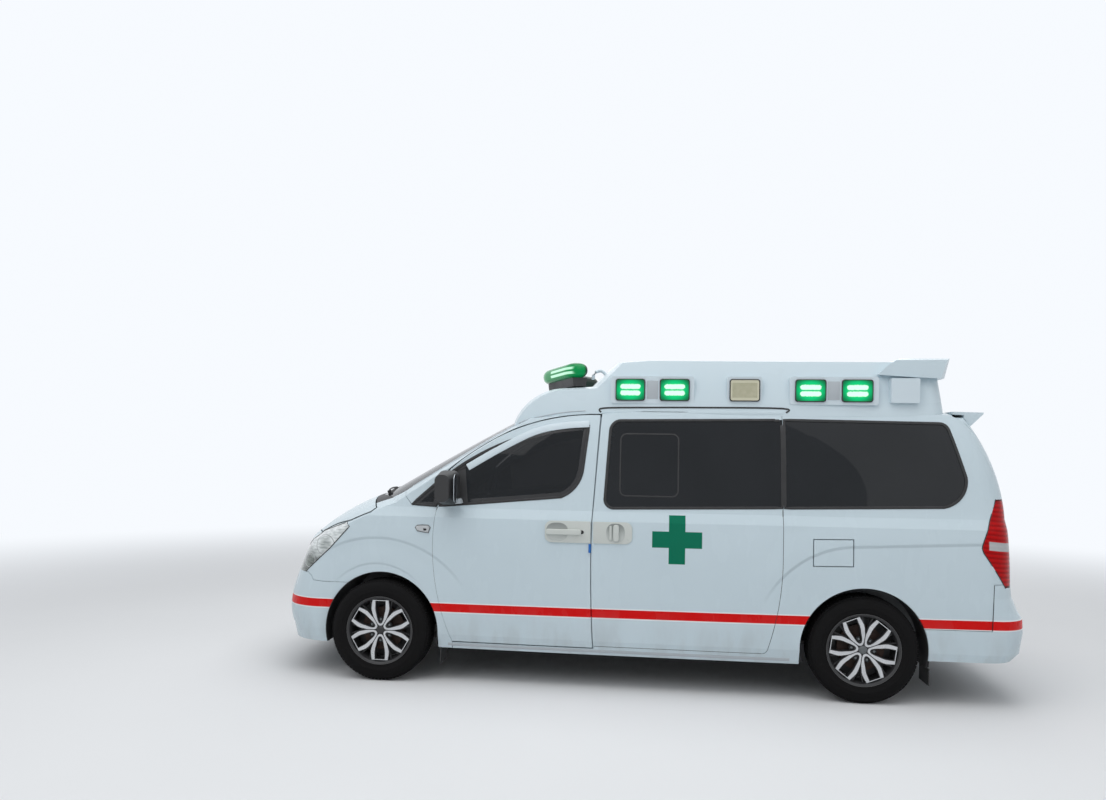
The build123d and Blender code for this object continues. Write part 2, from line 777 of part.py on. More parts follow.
with BuildPart() as tailgate_lip:
    with BuildSketch(Plane.XZ):
        with BuildLine():
            Polyline((hinge_x - 68, hinge_z + 14), (hinge_x + 4, hinge_z + 10), (hinge_x + 4, tailgate_high + fit_gap),
                     (hinge_x + 46, hinge_z - 64), (hinge_x + 128, hinge_z + 18), (hinge_x + 128, hinge_z + 28),
                     (hinge_x - 68, hinge_z + 32), close=True)
        make_face()
    extrude(amount=700, both=True)
    with BuildPart(mode=Mode.PRIVATE) as gate_top:
        add(outer)
        with Locations((rear_tip, 0, tailgate_high - 500 + fit_gap)):
            Box(2000, 2 * reach, 1000, mode=Mode.INTERSECT)
    add(gate_top.part, mode=Mode.SUBTRACT)
    # Hubs on the hinge pins, each side of the ears
    for side in (-1, 1):
        with Locations((hinge_x - 30, side * tailgate_ear_y, hinge_z + 20)):
            Box(104, ear_thickness + 2 * ear_gap, 80, mode=Mode.SUBTRACT)
        for turn in (-1, 1):
            hub_y = side * tailgate_ear_y + turn * (ear_thickness / 2 + ear_gap)
            with BuildSketch(Plane.XZ.offset(-hub_y)):
                with Locations(tailgate_hinge):
                    Circle(hinge_boss_radius + 2)
            extrude(amount=-turn * hub_length)
        with BuildSketch(Plane.XZ.offset(-side * tailgate_ear_y)):
            with Locations(tailgate_hinge):
                Circle(hinge_pin_radius + fit_gap)
        extrude(amount=hinge_room, both=True, mode=Mode.SUBTRACT)
keep("tailgate_lip", tailgate_lip.part)

# Fuel flap
with BuildPart() as fuel_flap:
    add(outer)
    add(glass_in, mode=Mode.SUBTRACT)
    add(side_block(outline(fuel_flap_line), half - 80), mode=Mode.INTERSECT)
    add(flap_pin(flap_pin_radius, 0))
keep("fuel_flap", fuel_flap.part)

# The high roof with its rear wing, front light bar and side lamps
cap_outer = cap_form(0)
with BuildPart() as roof_cap:
    add(cap_outer)
    add(cap_form(cap_wall), mode=Mode.SUBTRACT)
    add(body_form(-fit_gap), mode=Mode.SUBTRACT)
keep("roof_cap", roof_cap.part)

# Rear wing: side-view outline of its middle and of its tips, at their places across the roof
wing_middle = [(3325, 2140), (3397, 2193), (3470, 2246), (3790, 2246), (3757, 2112), (3600, 2114)]
wing_tip = [(3308, 2128), (3370, 2186), (3425, 2225), (3748, 2226), (3709, 2105), (3560, 2111)]
wing_flat = 650.0
wing_half = 742.0
with BuildPart() as roof_wing:
    with BuildSketch(Plane.XZ):
        with BuildLine():
            Polyline([spot(x, z) for x, z in wing_middle], close=True)
        make_face()
    extrude(amount=wing_flat, both=True)
    for side in (-1, 1):
        with BuildPart(mode=Mode.PRIVATE) as wing_end:
            for y, corners in ((wing_flat, wing_middle), (wing_half, wing_tip)):
                with BuildSketch(Plane.XZ.offset(-side * y)):
                    with BuildLine():
                        Polyline([spot(x, z) for x, z in corners], close=True)
                    make_face()
            loft(ruled=True)
        add(wing_end.part)
    add(cap_outer, mode=Mode.SUBTRACT)
keep("roof_wing", roof_wing.part)

bar_sweep = 290.0
bar_half = 610.0


def bar_outline(depth):
    with BuildSketch() as shape:
        with BuildLine():
            Polyline(spot(1060 - depth, 0), spot(1060 - depth + bar_sweep, bar_half), spot(1060 + depth + bar_sweep, bar_half),
                     spot(1060 + depth, 0), spot(1060 + depth + bar_sweep, -bar_half),
                     spot(1060 - depth + bar_sweep, -bar_half), close=True)
        make_face()
    return shape.sketch


bar_base_top = 2112.0
bar_top = 2232.0
with BuildPart() as light_bar_base:
    add(tall_block(bar_outline(62), 2060, bar_base_top))
    with Locations((front_axle + 1360, -420, 2070), (front_axle + 1360, 420, 2070)):
        Box(90, 120, 84)
    add(cap_outer, mode=Mode.SUBTRACT)
keep("light_bar_base", light_bar_base.part)
with BuildPart() as light_bar_lens:
    add(tall_block(bar_outline(80), bar_base_top, bar_top))
    fillet(light_bar_lens.edges().filter_by(Plane.XY), 22)
keep("light_bar_lens", light_bar_lens.part)

# Side lamps on the high roof. Columns: X of the middle from the front axle, frame length
lamp_frames = [(1833, 560), (2446, 230), (3024, 570)]
lamp_lenses = [1684, 1982, 2446, 2873, 3172]
lamp_z = 2017.0
with BuildPart() as lamp_housings:
    with BuildSketch(Plane.XZ.offset(600)):
        for x, span in lamp_frames:
            with Locations(spot(x, lamp_z)):
                add(plate(span, 186, 12))
        with Locations(spot(3477, lamp_z + 4)):
            add(plate(180, 162, 6))
    extrude(amount=178)
    with BuildSketch(Plane.XZ.offset(772)):
        for x in lamp_lenses:
            with Locations(spot(x, lamp_z)):
                add(plate(196, 146, 9))
    extrude(amount=20, mode=Mode.SUBTRACT)
    add(cap_outer, mode=Mode.SUBTRACT)
keep("roof_lamp_housings", both_sides(lamp_housings.part))
with BuildPart() as lamp_lens:
    with BuildSketch(Plane.XZ.offset(772.3)):
        for x in lamp_lenses:
            with Locations(spot(x, lamp_z)):
                add(plate(190, 140, 8))
    extrude(amount=16)
    add(cap_outer, mode=Mode.SUBTRACT)
keep("roof_lamp_lenses", both_sides(lamp_lens.part))

# Wheels. Local frame: wheel centre at the origin, outer face towards -Y.
hub_bore = spindle_radius + fit_gap
tyre_half = tyre_width / 2
bead_half = tyre_half - 14


def turned(*profiles):
    # A solid of revolution about the axle. Points: distance outward, radius.
    with BuildPart() as solid:
        for points in profiles:
            with BuildSketch(Plane.YZ):
                with BuildLine():
                    Polyline(*[(-out, r) for out, r in points], close=True)
                make_face()
        revolve(axis=Axis.Y)
    return solid.part


tyre_side = [(bead_half, rim_radius), (bead_half, rim_radius + 16), (tyre_half - 3, 262), (tyre_half, 290),
             (tyre_half - 8, 318), (tyre_half - 22, tyre_radius - 7), (tyre_half - 42, tyre_radius)]
tyre = turned(tyre_side + [(-out, r) for out, r in tyre_side[::-1]])

# Spoke pockets. Columns: radius, half width.
spokes = 6
petal = [(92, 15), (206, 37)]
spoke_back = 54.0
spoke_face = 84.0
lip_radius = rim_radius + 12
well_radius = rim_radius - 12
barrel = [(-100, well_radius + 4), (-100, lip_radius), (-bead_half - fit_gap, lip_radius),
          (-bead_half - fit_gap, rim_radius - fit_gap), (bead_half + fit_gap, rim_radius - fit_gap),
          (bead_half + fit_gap, lip_radius), (100, lip_radius), (92, well_radius), (-92, well_radius)]
hub = [(-18, hub_bore), (-18, 62), (spoke_back, 62), (spoke_back, hub_bore)]


def pocket(run):
    with BuildSketch() as shape:
        with BuildLine():
            Polyline(*[(r, -w) for r, w in run], *[(r, w) for r, w in run[::-1]], close=True)
        make_face()
        chamfer(shape.vertices().group_by(Axis.X)[-1], 8)
    return shape.sketch


with BuildPart() as rim:
    with BuildSketch(Plane.XZ.offset(spoke_back)):
        Circle(well_radius + 2)
        with PolarLocations(0, spokes, start_angle=90):
            add(pocket(petal), mode=Mode.SUBTRACT)
    extrude(amount=spoke_face - spoke_back)
    add(turned(barrel))
    add(turned(hub))


def wheel_at(part, axle, side, track, turn):
    # side is -1 on the left; the right wheel is the left one turned about Z
    place = Location((axle, side * track / 2, tyre_radius), (0, 0, 0 if side < 0 else 180))
    with BuildPart() as placed:
        with Locations(place * Location((0, 0, 0), (0, turn, 0))):
            add(part)
    return placed.part


corners = [("front", front_axle, front_track, 0), ("rear", rear_axle, rear_track, 22)]
for end, axle, track, turn in corners:
    for side_name, side in (("left", -1), ("right", 1)):
        keep(f"tyre_{end}_{side_name}", wheel_at(tyre, axle, side, track, 0))
        keep(f"wheel_{end}_{side_name}", wheel_at(rim.part, axle, side, track, turn))

# Front knuckles: spindle, upright and king pin bosses
spindle_tip = 50.0
pin_radius = 11.0
arm_rise = 138.0
arm_levels = [tyre_radius - arm_rise, tyre_radius + arm_rise]
arm_thickness = 22.0
wheel_y = front_track / 2
with BuildPart() as knuckle:
    with BuildSketch(Plane.XZ.offset(king_pin_y - 34)):
        with Locations((front_axle, tyre_radius)):
            Circle(spindle_radius)
    extrude(amount=wheel_y + spindle_tip - (king_pin_y - 34))
    with Locations((front_axle, -king_pin_y, tyre_radius)):
        Box(70, 30, 2 * arm_rise - arm_thickness - 2)
        Cylinder(pin_radius, 2 * arm_rise + 40)
keep("knuckle_left", knuckle.part)
keep("knuckle_right", mirrored(knuckle.part))

# Underbody
rail_y = 400.0
tower_y = 340.0
tower_size = (500, 60, 320)
cross_spacing = 210.0
cross_z = 262.0
with BuildPart() as front_subframe:
    for x in (-cross_spacing, cross_spacing):
        with Locations((front_axle + x, 0, cross_z)):
            Box(80, 2 * rail_y + 40, 50)
    for side in (-1, 1):
        with Locations((front_axle, side * tower_y, tyre_radius)):
            Box(*tower_size)
        for level in arm_levels:
            with BuildSketch(Plane.XY.offset(level - arm_thickness / 2)):
                with BuildLine():
                    Polyline((front_axle - 150, side * tower_y), (front_axle - 30, side * king_pin_y),
                             (front_axle + 30, side * king_pin_y), (front_axle + 150, side * tower_y),
                             (front_axle + 90, side * tower_y), (front_axle, side * (king_pin_y - 90)),
                             (front_axle - 90, side * tower_y), close=True)
                make_face()
                with Locations((front_axle, side * king_pin_y)):
                    Circle(30)
                    Circle(pin_radius + fit_gap, mode=Mode.SUBTRACT)
            extrude(amount=arm_thickness)
keep("front_subframe", front_subframe.part)

# Longitudinal rails, floor, wheelhouses and tow eyes
rail_half = 60.0
rail_low = 330.0
# Rear axle: tube, final drive case, and its room under the floor rails
beam_radius = 40.0
case_radius = 118.0
axle_clearance = 8.0
floor_low = floor_height - floor_thickness
house_inner = 690.0
house_skin = 6.0
house_radius = arch_radius + 2


def floor_block(x0, x1, y0, y1, z0, z1):
    return Location(((x0 + x1) / 2, (y0 + y1) / 2, (z0 + z1) / 2)), (x1 - x0, y1 - y0, z1 - z0)


bulkhead_x = front_axle + 410
bulkhead_thickness = 16.0
floor_front = bulkhead_x + bulkhead_thickness
floor_rear = rear_tip - 190
tow_eye_radius = 14.0
tow_eye_thickness = 16.0
tow_eye_y = 335.0
tow_eyes = [front_axle - 440, floor_rear - 50]
with BuildPart() as floor_pan:
    for side in (-1, 1):
        place, size = floor_block(front_axle - 480, floor_rear, side * rail_y - rail_half / 2, side * rail_y + rail_half / 2,
                                  rail_low, floor_low)
        with Locations(place):
            Box(*size)
        # Kick-up over the rear axle
        with Locations((rear_axle, side * rail_y, tyre_radius)):
            Box(2 * beam_radius + 60, rail_half, 2 * (beam_radius + axle_clearance), mode=Mode.SUBTRACT)
    with BuildPart(mode=Mode.PRIVATE) as floor_plate:
        place, size = floor_block(floor_front, floor_rear, -floor_half, floor_half, floor_low, floor_height)
        with Locations(place):
            Box(*size)
        add(inner, mode=Mode.INTERSECT)
        for side in (-1, 1):
            place, size = floor_block(rear_axle - house_radius, rear_axle + house_radius, side * house_inner, side * half,
                                      0, 1000)
            with Locations(place):
                Box(size[0], abs(size[1]), size[2], mode=Mode.SUBTRACT)
    add(floor_plate.part)
    # Flat tow eyes on the left rail's inner face, for a pin from below
    rail_face = rail_y - rail_half / 2
    for x in tow_eyes:
        with BuildSketch(Plane.XY.offset(rail_low)):
            with Locations((x, -tow_eye_y)):
                Rectangle(64, 2 * (rail_face - tow_eye_y) + 4)
                Circle(tow_eye_radius, mode=Mode.SUBTRACT)
        extrude(amount=tow_eye_thickness)
    for side in (-1, 1):
        with BuildPart(mode=Mode.PRIVATE) as house:
            with BuildSketch(Plane.XZ.offset(-side * (house_inner + half - 62) / 2)):
                with Locations((rear_axle, tyre_radius)):
                    Circle(house_radius + house_skin)
            extrude(amount=(half - 62 - house_inner) / 2 + house_skin / 2, both=True)
            with BuildSketch(Plane.XZ.offset(-side * (house_inner + house_skin + half) / 2)):
                with Locations((rear_axle, tyre_radius)):
                    Circle(house_radius)
            extrude(amount=(half - house_inner - house_skin) / 2, both=True, mode=Mode.SUBTRACT)
            place, size = floor_block(rear_axle - 600, rear_axle + 600, -reach, reach, 0, floor_low)
            with Locations(place):
                Box(*size, mode=Mode.SUBTRACT)
            add(inner, mode=Mode.INTERSECT)
        add(house.part)
keep("floor_pan", floor_pan.part)

# Bulkhead between the engine bay and the cab, with the black cowl panel under the windscreen
with BuildPart() as bulkhead:
    with BuildSketch(Plane.XZ):
        with BuildLine():
            Polyline((bulkhead_x, floor_low), (floor_front, floor_low), (floor_front, 1010), (front_axle + 60, 1158),
                     (front_axle + 50, 1140), (bulkhead_x, 998), close=True)
        make_face()
    extrude(amount=cab_half, both=True)
    add(inner, mode=Mode.INTERSECT)
keep("bulkhead", bulkhead.part)

with BuildPart() as cowl_panel:
    add(skin.part)
    with BuildPart(mode=Mode.PRIVATE) as cowl_block:
        with Locations((front_axle, 0, 1300)):
            Box(500, 2 * cowl_half - seam_gap, 400)
        for side in (-1, 1):
            with BuildSketch(Plane.XZ.offset(-side * reach / 2)):
                add(outline(body_side_line, seam_gap / 2))
            extrude(amount=reach / 2, both=True, mode=Mode.SUBTRACT)
    add(cowl_block.part, mode=Mode.INTERSECT)
    add(bonnet_opening.part, mode=Mode.SUBTRACT)
    add(end_block(screen_outline, front_tip, front_axle + 1400), mode=Mode.SUBTRACT)
keep("cowl_panel", cowl_panel.part)

# Engine, exhaust, fuel tank and drive line
with BuildPart() as engine_block:
    with Locations((front_axle - 60, 0, 640)):
        Box(640, 520, 480)
    with Locations((front_axle - 60, 0, 345)):
        Box(480, 300, 110)
keep("engine_block", engine_block.part)

gearbox_rear = 900.0
with BuildPart() as drive_line:
    with BuildSketch(Plane.YZ.offset(front_axle + 180)):
        with Locations((0, tyre_radius)):
            Circle(55)
    extrude(amount=gearbox_rear - 180)
    with BuildSketch(Plane.YZ.offset(front_axle + gearbox_rear)):
        with Locations((0, tyre_radius + 10)):
            Circle(32)
    extrude(amount=wheelbase - gearbox_rear - case_radius)
keep("drive_line", drive_line.part)

spring_y = 520.0
with BuildPart() as rear_axle_beam:
    with BuildSketch(Plane.XZ.offset(-720)):
        with Locations((rear_axle, tyre_radius)):
            Circle(beam_radius)
    extrude(amount=1440)
    with Locations((rear_axle, 0, tyre_radius)):
        Box(220, 250, 110)
        Cylinder(case_radius, case_radius)
    with BuildSketch(Plane.XZ.offset(-(rear_track / 2 + spindle_tip))):
        with Locations((rear_axle, tyre_radius)):
            Circle(spindle_radius)
    extrude(amount=rear_track + 2 * spindle_tip)
    for side in (-1, 1):
        with Locations((rear_axle, side * spring_y, tyre_radius - beam_radius - 18)):
            Box(110, 80, 46)
        with BuildSketch(Plane.XZ.offset(-side * spring_y)):
            with BuildLine():
                ThreePointArc((rear_axle - 620, 372), (rear_axle, 268), (rear_axle + 620, 372))
                Line((rear_axle + 620, 372), (rear_axle + 620, 392))
                ThreePointArc((rear_axle + 620, 392), (rear_axle, 290), (rear_axle - 620, 392))
                Line((rear_axle - 620, 392), (rear_axle - 620, 372))
            make_face()
        extrude(amount=33, both=True)
        for x in (-620, 620):
            with Locations((rear_axle + x, side * spring_y, 396)):
                Box(46, 66, 28)
keep("rear_axle_beam", rear_axle_beam.part)

with BuildPart() as exhaust:
    with BuildLine() as pipe_line:
        FilletPolyline((front_axle + 300, 240, 300), (front_axle + 800, 240, 250), (front_axle + 2600, 240, 262),
                       (front_axle + 3300, 420, 236), (rear_tip - 260, 600, 262), radius=90)
    with BuildSketch(Plane(pipe_line.edges().sort_by(Axis.X)[0] @ 0, z_dir=pipe_line.edges().sort_by(Axis.X)[0] % 0)):
        RegularPolygon(28, 8)
    sweep()
    with Locations((front_axle + 1850, 240, 262)):
        Box(640, 190, 120)
    # Hangers up to the floor
    for x, y, low in ((front_axle + 1600, 240, 315), (front_axle + 2100, 240, 315), (front_axle + 3950, 582, 270)):
        place, size = floor_block(x - 8, x + 8, y - 15, y + 15, low, floor_low)
        with Locations(place):
            Box(*size)
keep("exhaust", exhaust.part)

with BuildPart() as fuel_tank:
    with Locations((front_axle + 1900, -600, floor_low - 85)):
        Box(900, 330, 170)
    fillet(fuel_tank.edges().filter_by(Axis.X), 40)
keep("fuel_tank", fuel_tank.part)

flap_thickness = 6.0
flap_back = house_radius + house_skin + 4
flap_low = 125.0
# Boards across the vehicle: inner and outer |Y|, low and high Z. The first is trimmed to the body.
flap_top = (690, 930, 240, 400)
flap_boards = [(690, 845, flap_low, 300), (690, 880, flap_low, 232)]


def mud_board(axle, side, y0, y1, z0, z1):
    place, size = floor_block(axle + flap_back, axle + flap_back + flap_thickness, side * y0, side * y1, z0, z1)
    with Locations(place):
        Box(size[0], abs(size[1]), size[2])


with BuildPart() as mud_flaps:
    for side in (-1, 1):
        for axle in (front_axle, rear_axle):
            mud_board(axle, side, *flap_top)
    add(mid, mode=Mode.INTERSECT)
    for side in (-1, 1):
        for axle in (front_axle, rear_axle):
            for board in flap_boards:
                mud_board(axle, side, *board)
keep("mud_flaps", mud_flaps.part)

# Cab
with BuildPart() as dashboard:
    with BuildSketch(Plane.XZ):
        with BuildLine():
            Polyline(spot(440, 700), spot(470, 1000), spot(130, 1180), spot(150, 1215), spot(520, 1180), spot(690, 1120),
                     spot(720, 1010), spot(640, 900), spot(600, 700), close=True)
        make_face()
    extrude(amount=cab_half, both=True)
    add(inner, mode=Mode.INTERSECT)
    add(pane_band.part, mode=Mode.SUBTRACT)
keep("dashboard", dashboard.part)

driver_y = -400.0
wheel_plane = Plane(origin=(front_axle + 890, driver_y, 1075), z_dir=(1, 0, 0.9))
with BuildPart() as steering_wheel:
    with BuildSketch(wheel_plane):
        Circle(40)
    extrude(amount=-330)
    add(dashboard.part, mode=Mode.SUBTRACT)
    with Locations(wheel_plane):
        Box(340, 40, 18)
        Box(40, 340, 18)
    with BuildSketch(wheel_plane):
        Circle(196)
        Circle(168, mode=Mode.SUBTRACT)
    extrude(amount=13, both=True)
keep("steering_wheel", steering_wheel.part)

with BuildPart() as front_seats:
    for side in (-1, 1):
        with Locations((front_axle + 1120, side * 400, (floor_height + 640) / 2)):
            Box(420, 400, 640 - floor_height)
        with Locations((front_axle + 1120, side * 400, 700)):
            Box(520, 500, 130)
        with BuildSketch(Plane.XZ.offset(-side * 400)):
            with BuildLine():
                Polyline(spot(1300, 720), spot(1420, 720), spot(1560, 1300), spot(1480, 1320), close=True)
            make_face()
        extrude(amount=240, both=True)
        with BuildSketch(Plane.XZ.offset(-side * 400)):
            with BuildLine():
                Polyline(spot(1490, 1320), spot(1560, 1300), spot(1600, 1500), spot(1530, 1510), close=True)
            make_face()
        extrude(amount=130, both=True)
keep("front_seats", front_seats.part)

bench_front = front_axle + 2250
with BuildPart() as attendant_bench:
    place, size = floor_block(bench_front, bench_front + 900, 460, 680, floor_height, 780)
    with Locations(place):
        Box(*size)
    place, size = floor_block(bench_front, bench_front + 900, 460, 820, 762, 862)
    with Locations(place):
        Box(*size)
    with BuildSketch(Plane.YZ.offset(bench_front)):
        with BuildLine():
            Polyline((760, 860), (840, 860), (812, 1180), (745, 1180), close=True)
        make_face()
    extrude(amount=900)
    add(inner, mode=Mode.INTERSECT)
keep("attendant_bench", attendant_bench.part)


# Door handles. Columns: name, X of plate ends from the front axle, X of grip, grip size
handle_low, handle_high = 985.0, 1128.0
handle_plate = 5.0
grip_stand = 26.0


def handle_set(x0, x1, grip_x, grip_long, grip_tall):
    with BuildPart() as solid:
        with BuildSketch(Plane.XZ.offset(900)):
            with Locations(spot((x0 + x1) / 2, (handle_low + handle_high) / 2)):
                add(plate(x1 - x0, handle_high - handle_low, 26))
        extrude(amount=half + handle_plate - 900)
        with BuildSketch(Plane.XZ.offset(900)):
            with Locations(spot(grip_x, (handle_low + handle_high) / 2)):
                add(plate(grip_long, grip_tall, min(grip_long, grip_tall) / 4))
        extrude(amount=half + grip_stand - 900)
        add(outer, mode=Mode.SUBTRACT)
    return solid.part


door_handle = handle_set(1136, 1440, 1240, 200, 36)
keep("door_handle_left", door_handle)
keep("door_handle_right", mirrored(door_handle))
keep("sliding_door_handles", both_sides(handle_set(1458, 1716, 1610, 40, 112)))

box = Compound(list(pieces.values())).bounding_box()
print("size", box.size, "low", box.min)
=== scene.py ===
import math
import bpy
import bmesh
from mathutils import Matrix, Vector
from mathutils.bvhtree import BVHTree


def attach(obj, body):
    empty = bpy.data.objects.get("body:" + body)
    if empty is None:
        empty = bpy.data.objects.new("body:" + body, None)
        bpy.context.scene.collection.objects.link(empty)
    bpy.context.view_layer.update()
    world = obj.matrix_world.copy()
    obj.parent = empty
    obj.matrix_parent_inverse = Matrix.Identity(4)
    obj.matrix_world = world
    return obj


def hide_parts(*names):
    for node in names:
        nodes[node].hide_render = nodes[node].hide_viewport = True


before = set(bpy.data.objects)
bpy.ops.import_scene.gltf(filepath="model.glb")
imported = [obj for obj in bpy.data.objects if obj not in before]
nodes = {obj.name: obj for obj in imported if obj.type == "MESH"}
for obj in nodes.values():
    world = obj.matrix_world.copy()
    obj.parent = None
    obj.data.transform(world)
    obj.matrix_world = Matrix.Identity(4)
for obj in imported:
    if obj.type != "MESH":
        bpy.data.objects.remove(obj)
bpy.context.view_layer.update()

# High-roof ambulance. Metres, +X to the rear, +Y to the right side, +Z up.
frontAxle, rearAxle, axleHeight = -1.705, 1.495, 0.345
bothSides = ((-1, "left"), (1, "right"))


def mm(x, z):
    # Millimetres behind the front axle and above the ground, in metres of the frame
    return frontAxle + x / 1000, z / 1000


# Shader maths
class Link:
    def __init__(self, finish, socket):
        self.finish, self.socket = finish, socket

    def calc(self, operation, *values):
        return self.finish.node("ShaderNodeMath", {"operation": operation}, dict(enumerate(values)))

    def __add__(self, other): return self.calc("ADD", self, other)
    def __sub__(self, other): return self.calc("SUBTRACT", self, other)
    def __rsub__(self, other): return self.calc("SUBTRACT", other, self)
    def __mul__(self, other): return self.calc("MULTIPLY", self, other)
    def __truediv__(self, other): return self.calc("DIVIDE", self, other)
    def __gt__(self, other): return self.calc("GREATER_THAN", self, other)
    def __lt__(self, other): return self.calc("LESS_THAN", self, other)
    def __abs__(self): return self.calc("ABSOLUTE", self)
    __radd__ = __add__
    __rmul__ = __mul__

    def most(self, other): return self.calc("MAXIMUM", self, other)
    def least(self, other): return self.calc("MINIMUM", self, other)
    def wave(self): return self.calc("SINE", self)
    def root(self): return self.calc("SQRT", self)


class Finish:
    # One material: constants go straight on its shader, links come from node()
    def __init__(self, name, **values):
        self.material = bpy.data.materials.new(name)
        self.material.use_nodes = True
        self.tree = self.material.node_tree
        self.shader = self.tree.nodes["Principled BSDF"]
        for key, value in values.items():
            self.set(key, value)
        place = self.tree.nodes.new("ShaderNodeTexCoord")
        self.place = Link(self, place.outputs["Object"])
        axes = self.tree.nodes.new("ShaderNodeSeparateXYZ")
        self.tree.links.new(place.outputs["Object"], axes.inputs[0])
        self.x, self.y, self.z = (Link(self, axes.outputs[i]) for i in range(3))

    def fill(self, socket, value):
        if isinstance(value, Link):
            self.tree.links.new(value.socket, socket)
        elif isinstance(value, tuple) and len(value) == 3 and socket.type == "RGBA":
            socket.default_value = (*value, 1)
        else:
            socket.default_value = value

    def set(self, key, value):
        self.fill(self.shader.inputs[key.replace("_", " ")], value)

    def node(self, kind, settings=None, values=None, give=0):
        made = self.tree.nodes.new(kind)
        for key, value in (settings or {}).items():
            setattr(made, key, value)
        for key, value in (values or {}).items():
            self.fill(made.inputs[key], value)
        return Link(self, made.outputs[give])

    def mix(self, mask, first, second):
        return self.node("ShaderNodeMix", {"data_type": "RGBA"}, {0: mask, 6: first, 7: second}, 2)

    def noise(self, scale, detail=2.0, stretch=None):
        place = self.place
        if stretch:
            place = self.node("ShaderNodeMapping", {}, {"Vector": self.place, "Scale": stretch})
        return self.node("ShaderNodeTexNoise", {}, {"Vector": place, "Scale": scale, "Detail": detail}, "Fac")

    def ramp(self, value, low, high):
        # 0 below low, 1 above high, smooth between
        return self.node("ShaderNodeMapRange", {"interpolation_type": "SMOOTHSTEP"},
                         {"Value": value, "From Min": low, "From Max": high})

    def band(self, value, low, high, soft=0.0008):
        return self.ramp(value, low - soft, low + soft) * (1 - self.ramp(value, high - soft, high + soft))

    def bump(self, height, strength, distance):
        self.set("Normal", self.node("ShaderNodeBump", {}, {"Strength": strength, "Distance": distance,
                                                              "Height": height}, "Normal"))


def speckled(name, colour, second, scale, roughness, spread, grain=0.0, grainScale=900.0, **values):
    # A plain moulded, painted or cast finish with colour drift, uneven gloss and a fine grain
    made = Finish(name, **values)
    drift = made.noise(scale, 4.0)
    made.set("Base_Color", made.mix(drift, colour, second))
    made.set("Roughness", made.ramp(drift, 0.2, 0.8) * spread + roughness)
    if grain:
        made.bump(made.noise(grainScale, 2.0), grain, 0.001)
    return made.material


# Body paint
# The pale colour along the stripe's edges is a painted highlight
paintLook = {"white": (0.60, 0.70, 0.75), "shade": (0.55, 0.65, 0.70), "lowerTone": (0.30, 0.30, 0.29),
             "red": (0.66, 0.001, 0.001), "green": (0.0, 0.155, 0.085), "highlightLine": (0.78, 0.80, 0.82),
             "stripe": (0.424, 0.5145, 0.0048), "stripeHalf": 0.0285, "highlightWidth": 0.008, "flank": 0.905,
             "cross": (2.008, 1.022), "crossHalf": (0.162, 0.159), "crossArm": 0.0535, "belt": (1.06, 1.13),
             # Pressed creases: X, slope behind it, half width, half height over 0.30 m, strength
             "creaseLow": 0.30,
             "creases": ((-0.03, 0.0, 0.7255, 0.690, 1.0), (-0.03, 0.0, 0.455, 0.509, 0.8),
                         (3.15, 0.0456, 0.666, 0.718, 1.2))}


def makePaint():
    look = paintLook
    made = Finish("bodyPaint", Coat_Roughness=0.05, IOR=1.4, Specular_IOR_Level=0.2)
    x, z = made.x - frontAxle, made.z
    side = abs(made.y)
    # The stripe rises a little to the rear, and runs on the outer skin only
    start, height, rise = look["stripe"]
    level = height + (x - start) * rise
    outside = (side > look["flank"]).most((x > 3.86) * (side > 0.50)).most((x < -0.30) * (side > 0.50))
    along = outside * (1 - made.band(x, -0.30, 0.30, 0.0006))
    # A painted highlight runs as a pale line along both edges of the stripe
    half, highlightLine = look["stripeHalf"], look["stripeHalf"] + look["highlightWidth"]
    stripe = made.band(z - level, -half, half) * along
    edge = made.band(z - level, -highlightLine, highlightLine) * along
    cx, cz = abs(x - look["cross"][0]), abs(z - look["cross"][1])
    upright = made.band(cx, -1.0, look["crossArm"]) * made.band(cz, -1.0, look["crossHalf"][1])
    across = made.band(cz, -1.0, look["crossArm"]) * made.band(cx, -1.0, look["crossHalf"][0])
    cross = upright.most(across) * (side > 0.90)
    drift = made.noise(1.6, 3.0)
    # Darker towards the bottom, in patches
    blotches = made.noise(9.0, 6.0, (1.0, 1.0, 0.35))
    low = (1 - made.ramp(z, 0.24, 0.62)) * made.ramp(blotches, 0.35, 0.75) * 0.30
    base = made.mix(drift, look["white"], look["shade"])
    for mask, tone in ((edge, look["highlightLine"]), (stripe, look["red"]), (cross, look["green"]),
                       (low, look["lowerTone"])):
        base = made.mix(mask, base, tone)
    made.set("Base_Color", base)
    made.set("Roughness", made.ramp(blotches, 0.3, 0.8) * 0.10 + low * 0.5 + 0.22)
    made.set("Coat_Weight", (1 - stripe.most(cross)) * 0.10)
    pressed = made.ramp(z - x * 0.008, *look["belt"]) * (side > 0.80) * 0.25
    for middle, slope, wide, tall, strength in look["creases"]:
        back = x - middle
        dx = (back.least(0.0) if slope else back) / wide
        dz = (z - look["creaseLow"] - back.most(0.0) * slope) / tall
        far = (dx * dx + dz * dz).root()
        fold = made.ramp(far, 0.965, 1.0) * (1 - made.ramp(far, 1.0, 1.28))
        pressed = pressed + fold * (side > 0.80) * made.ramp(z, 0.58, 0.86) * strength
    made.bump(pressed + made.noise(700.0, 1.0) * 0.004, 0.8, 0.010)
    return made.material


paint = makePaint()
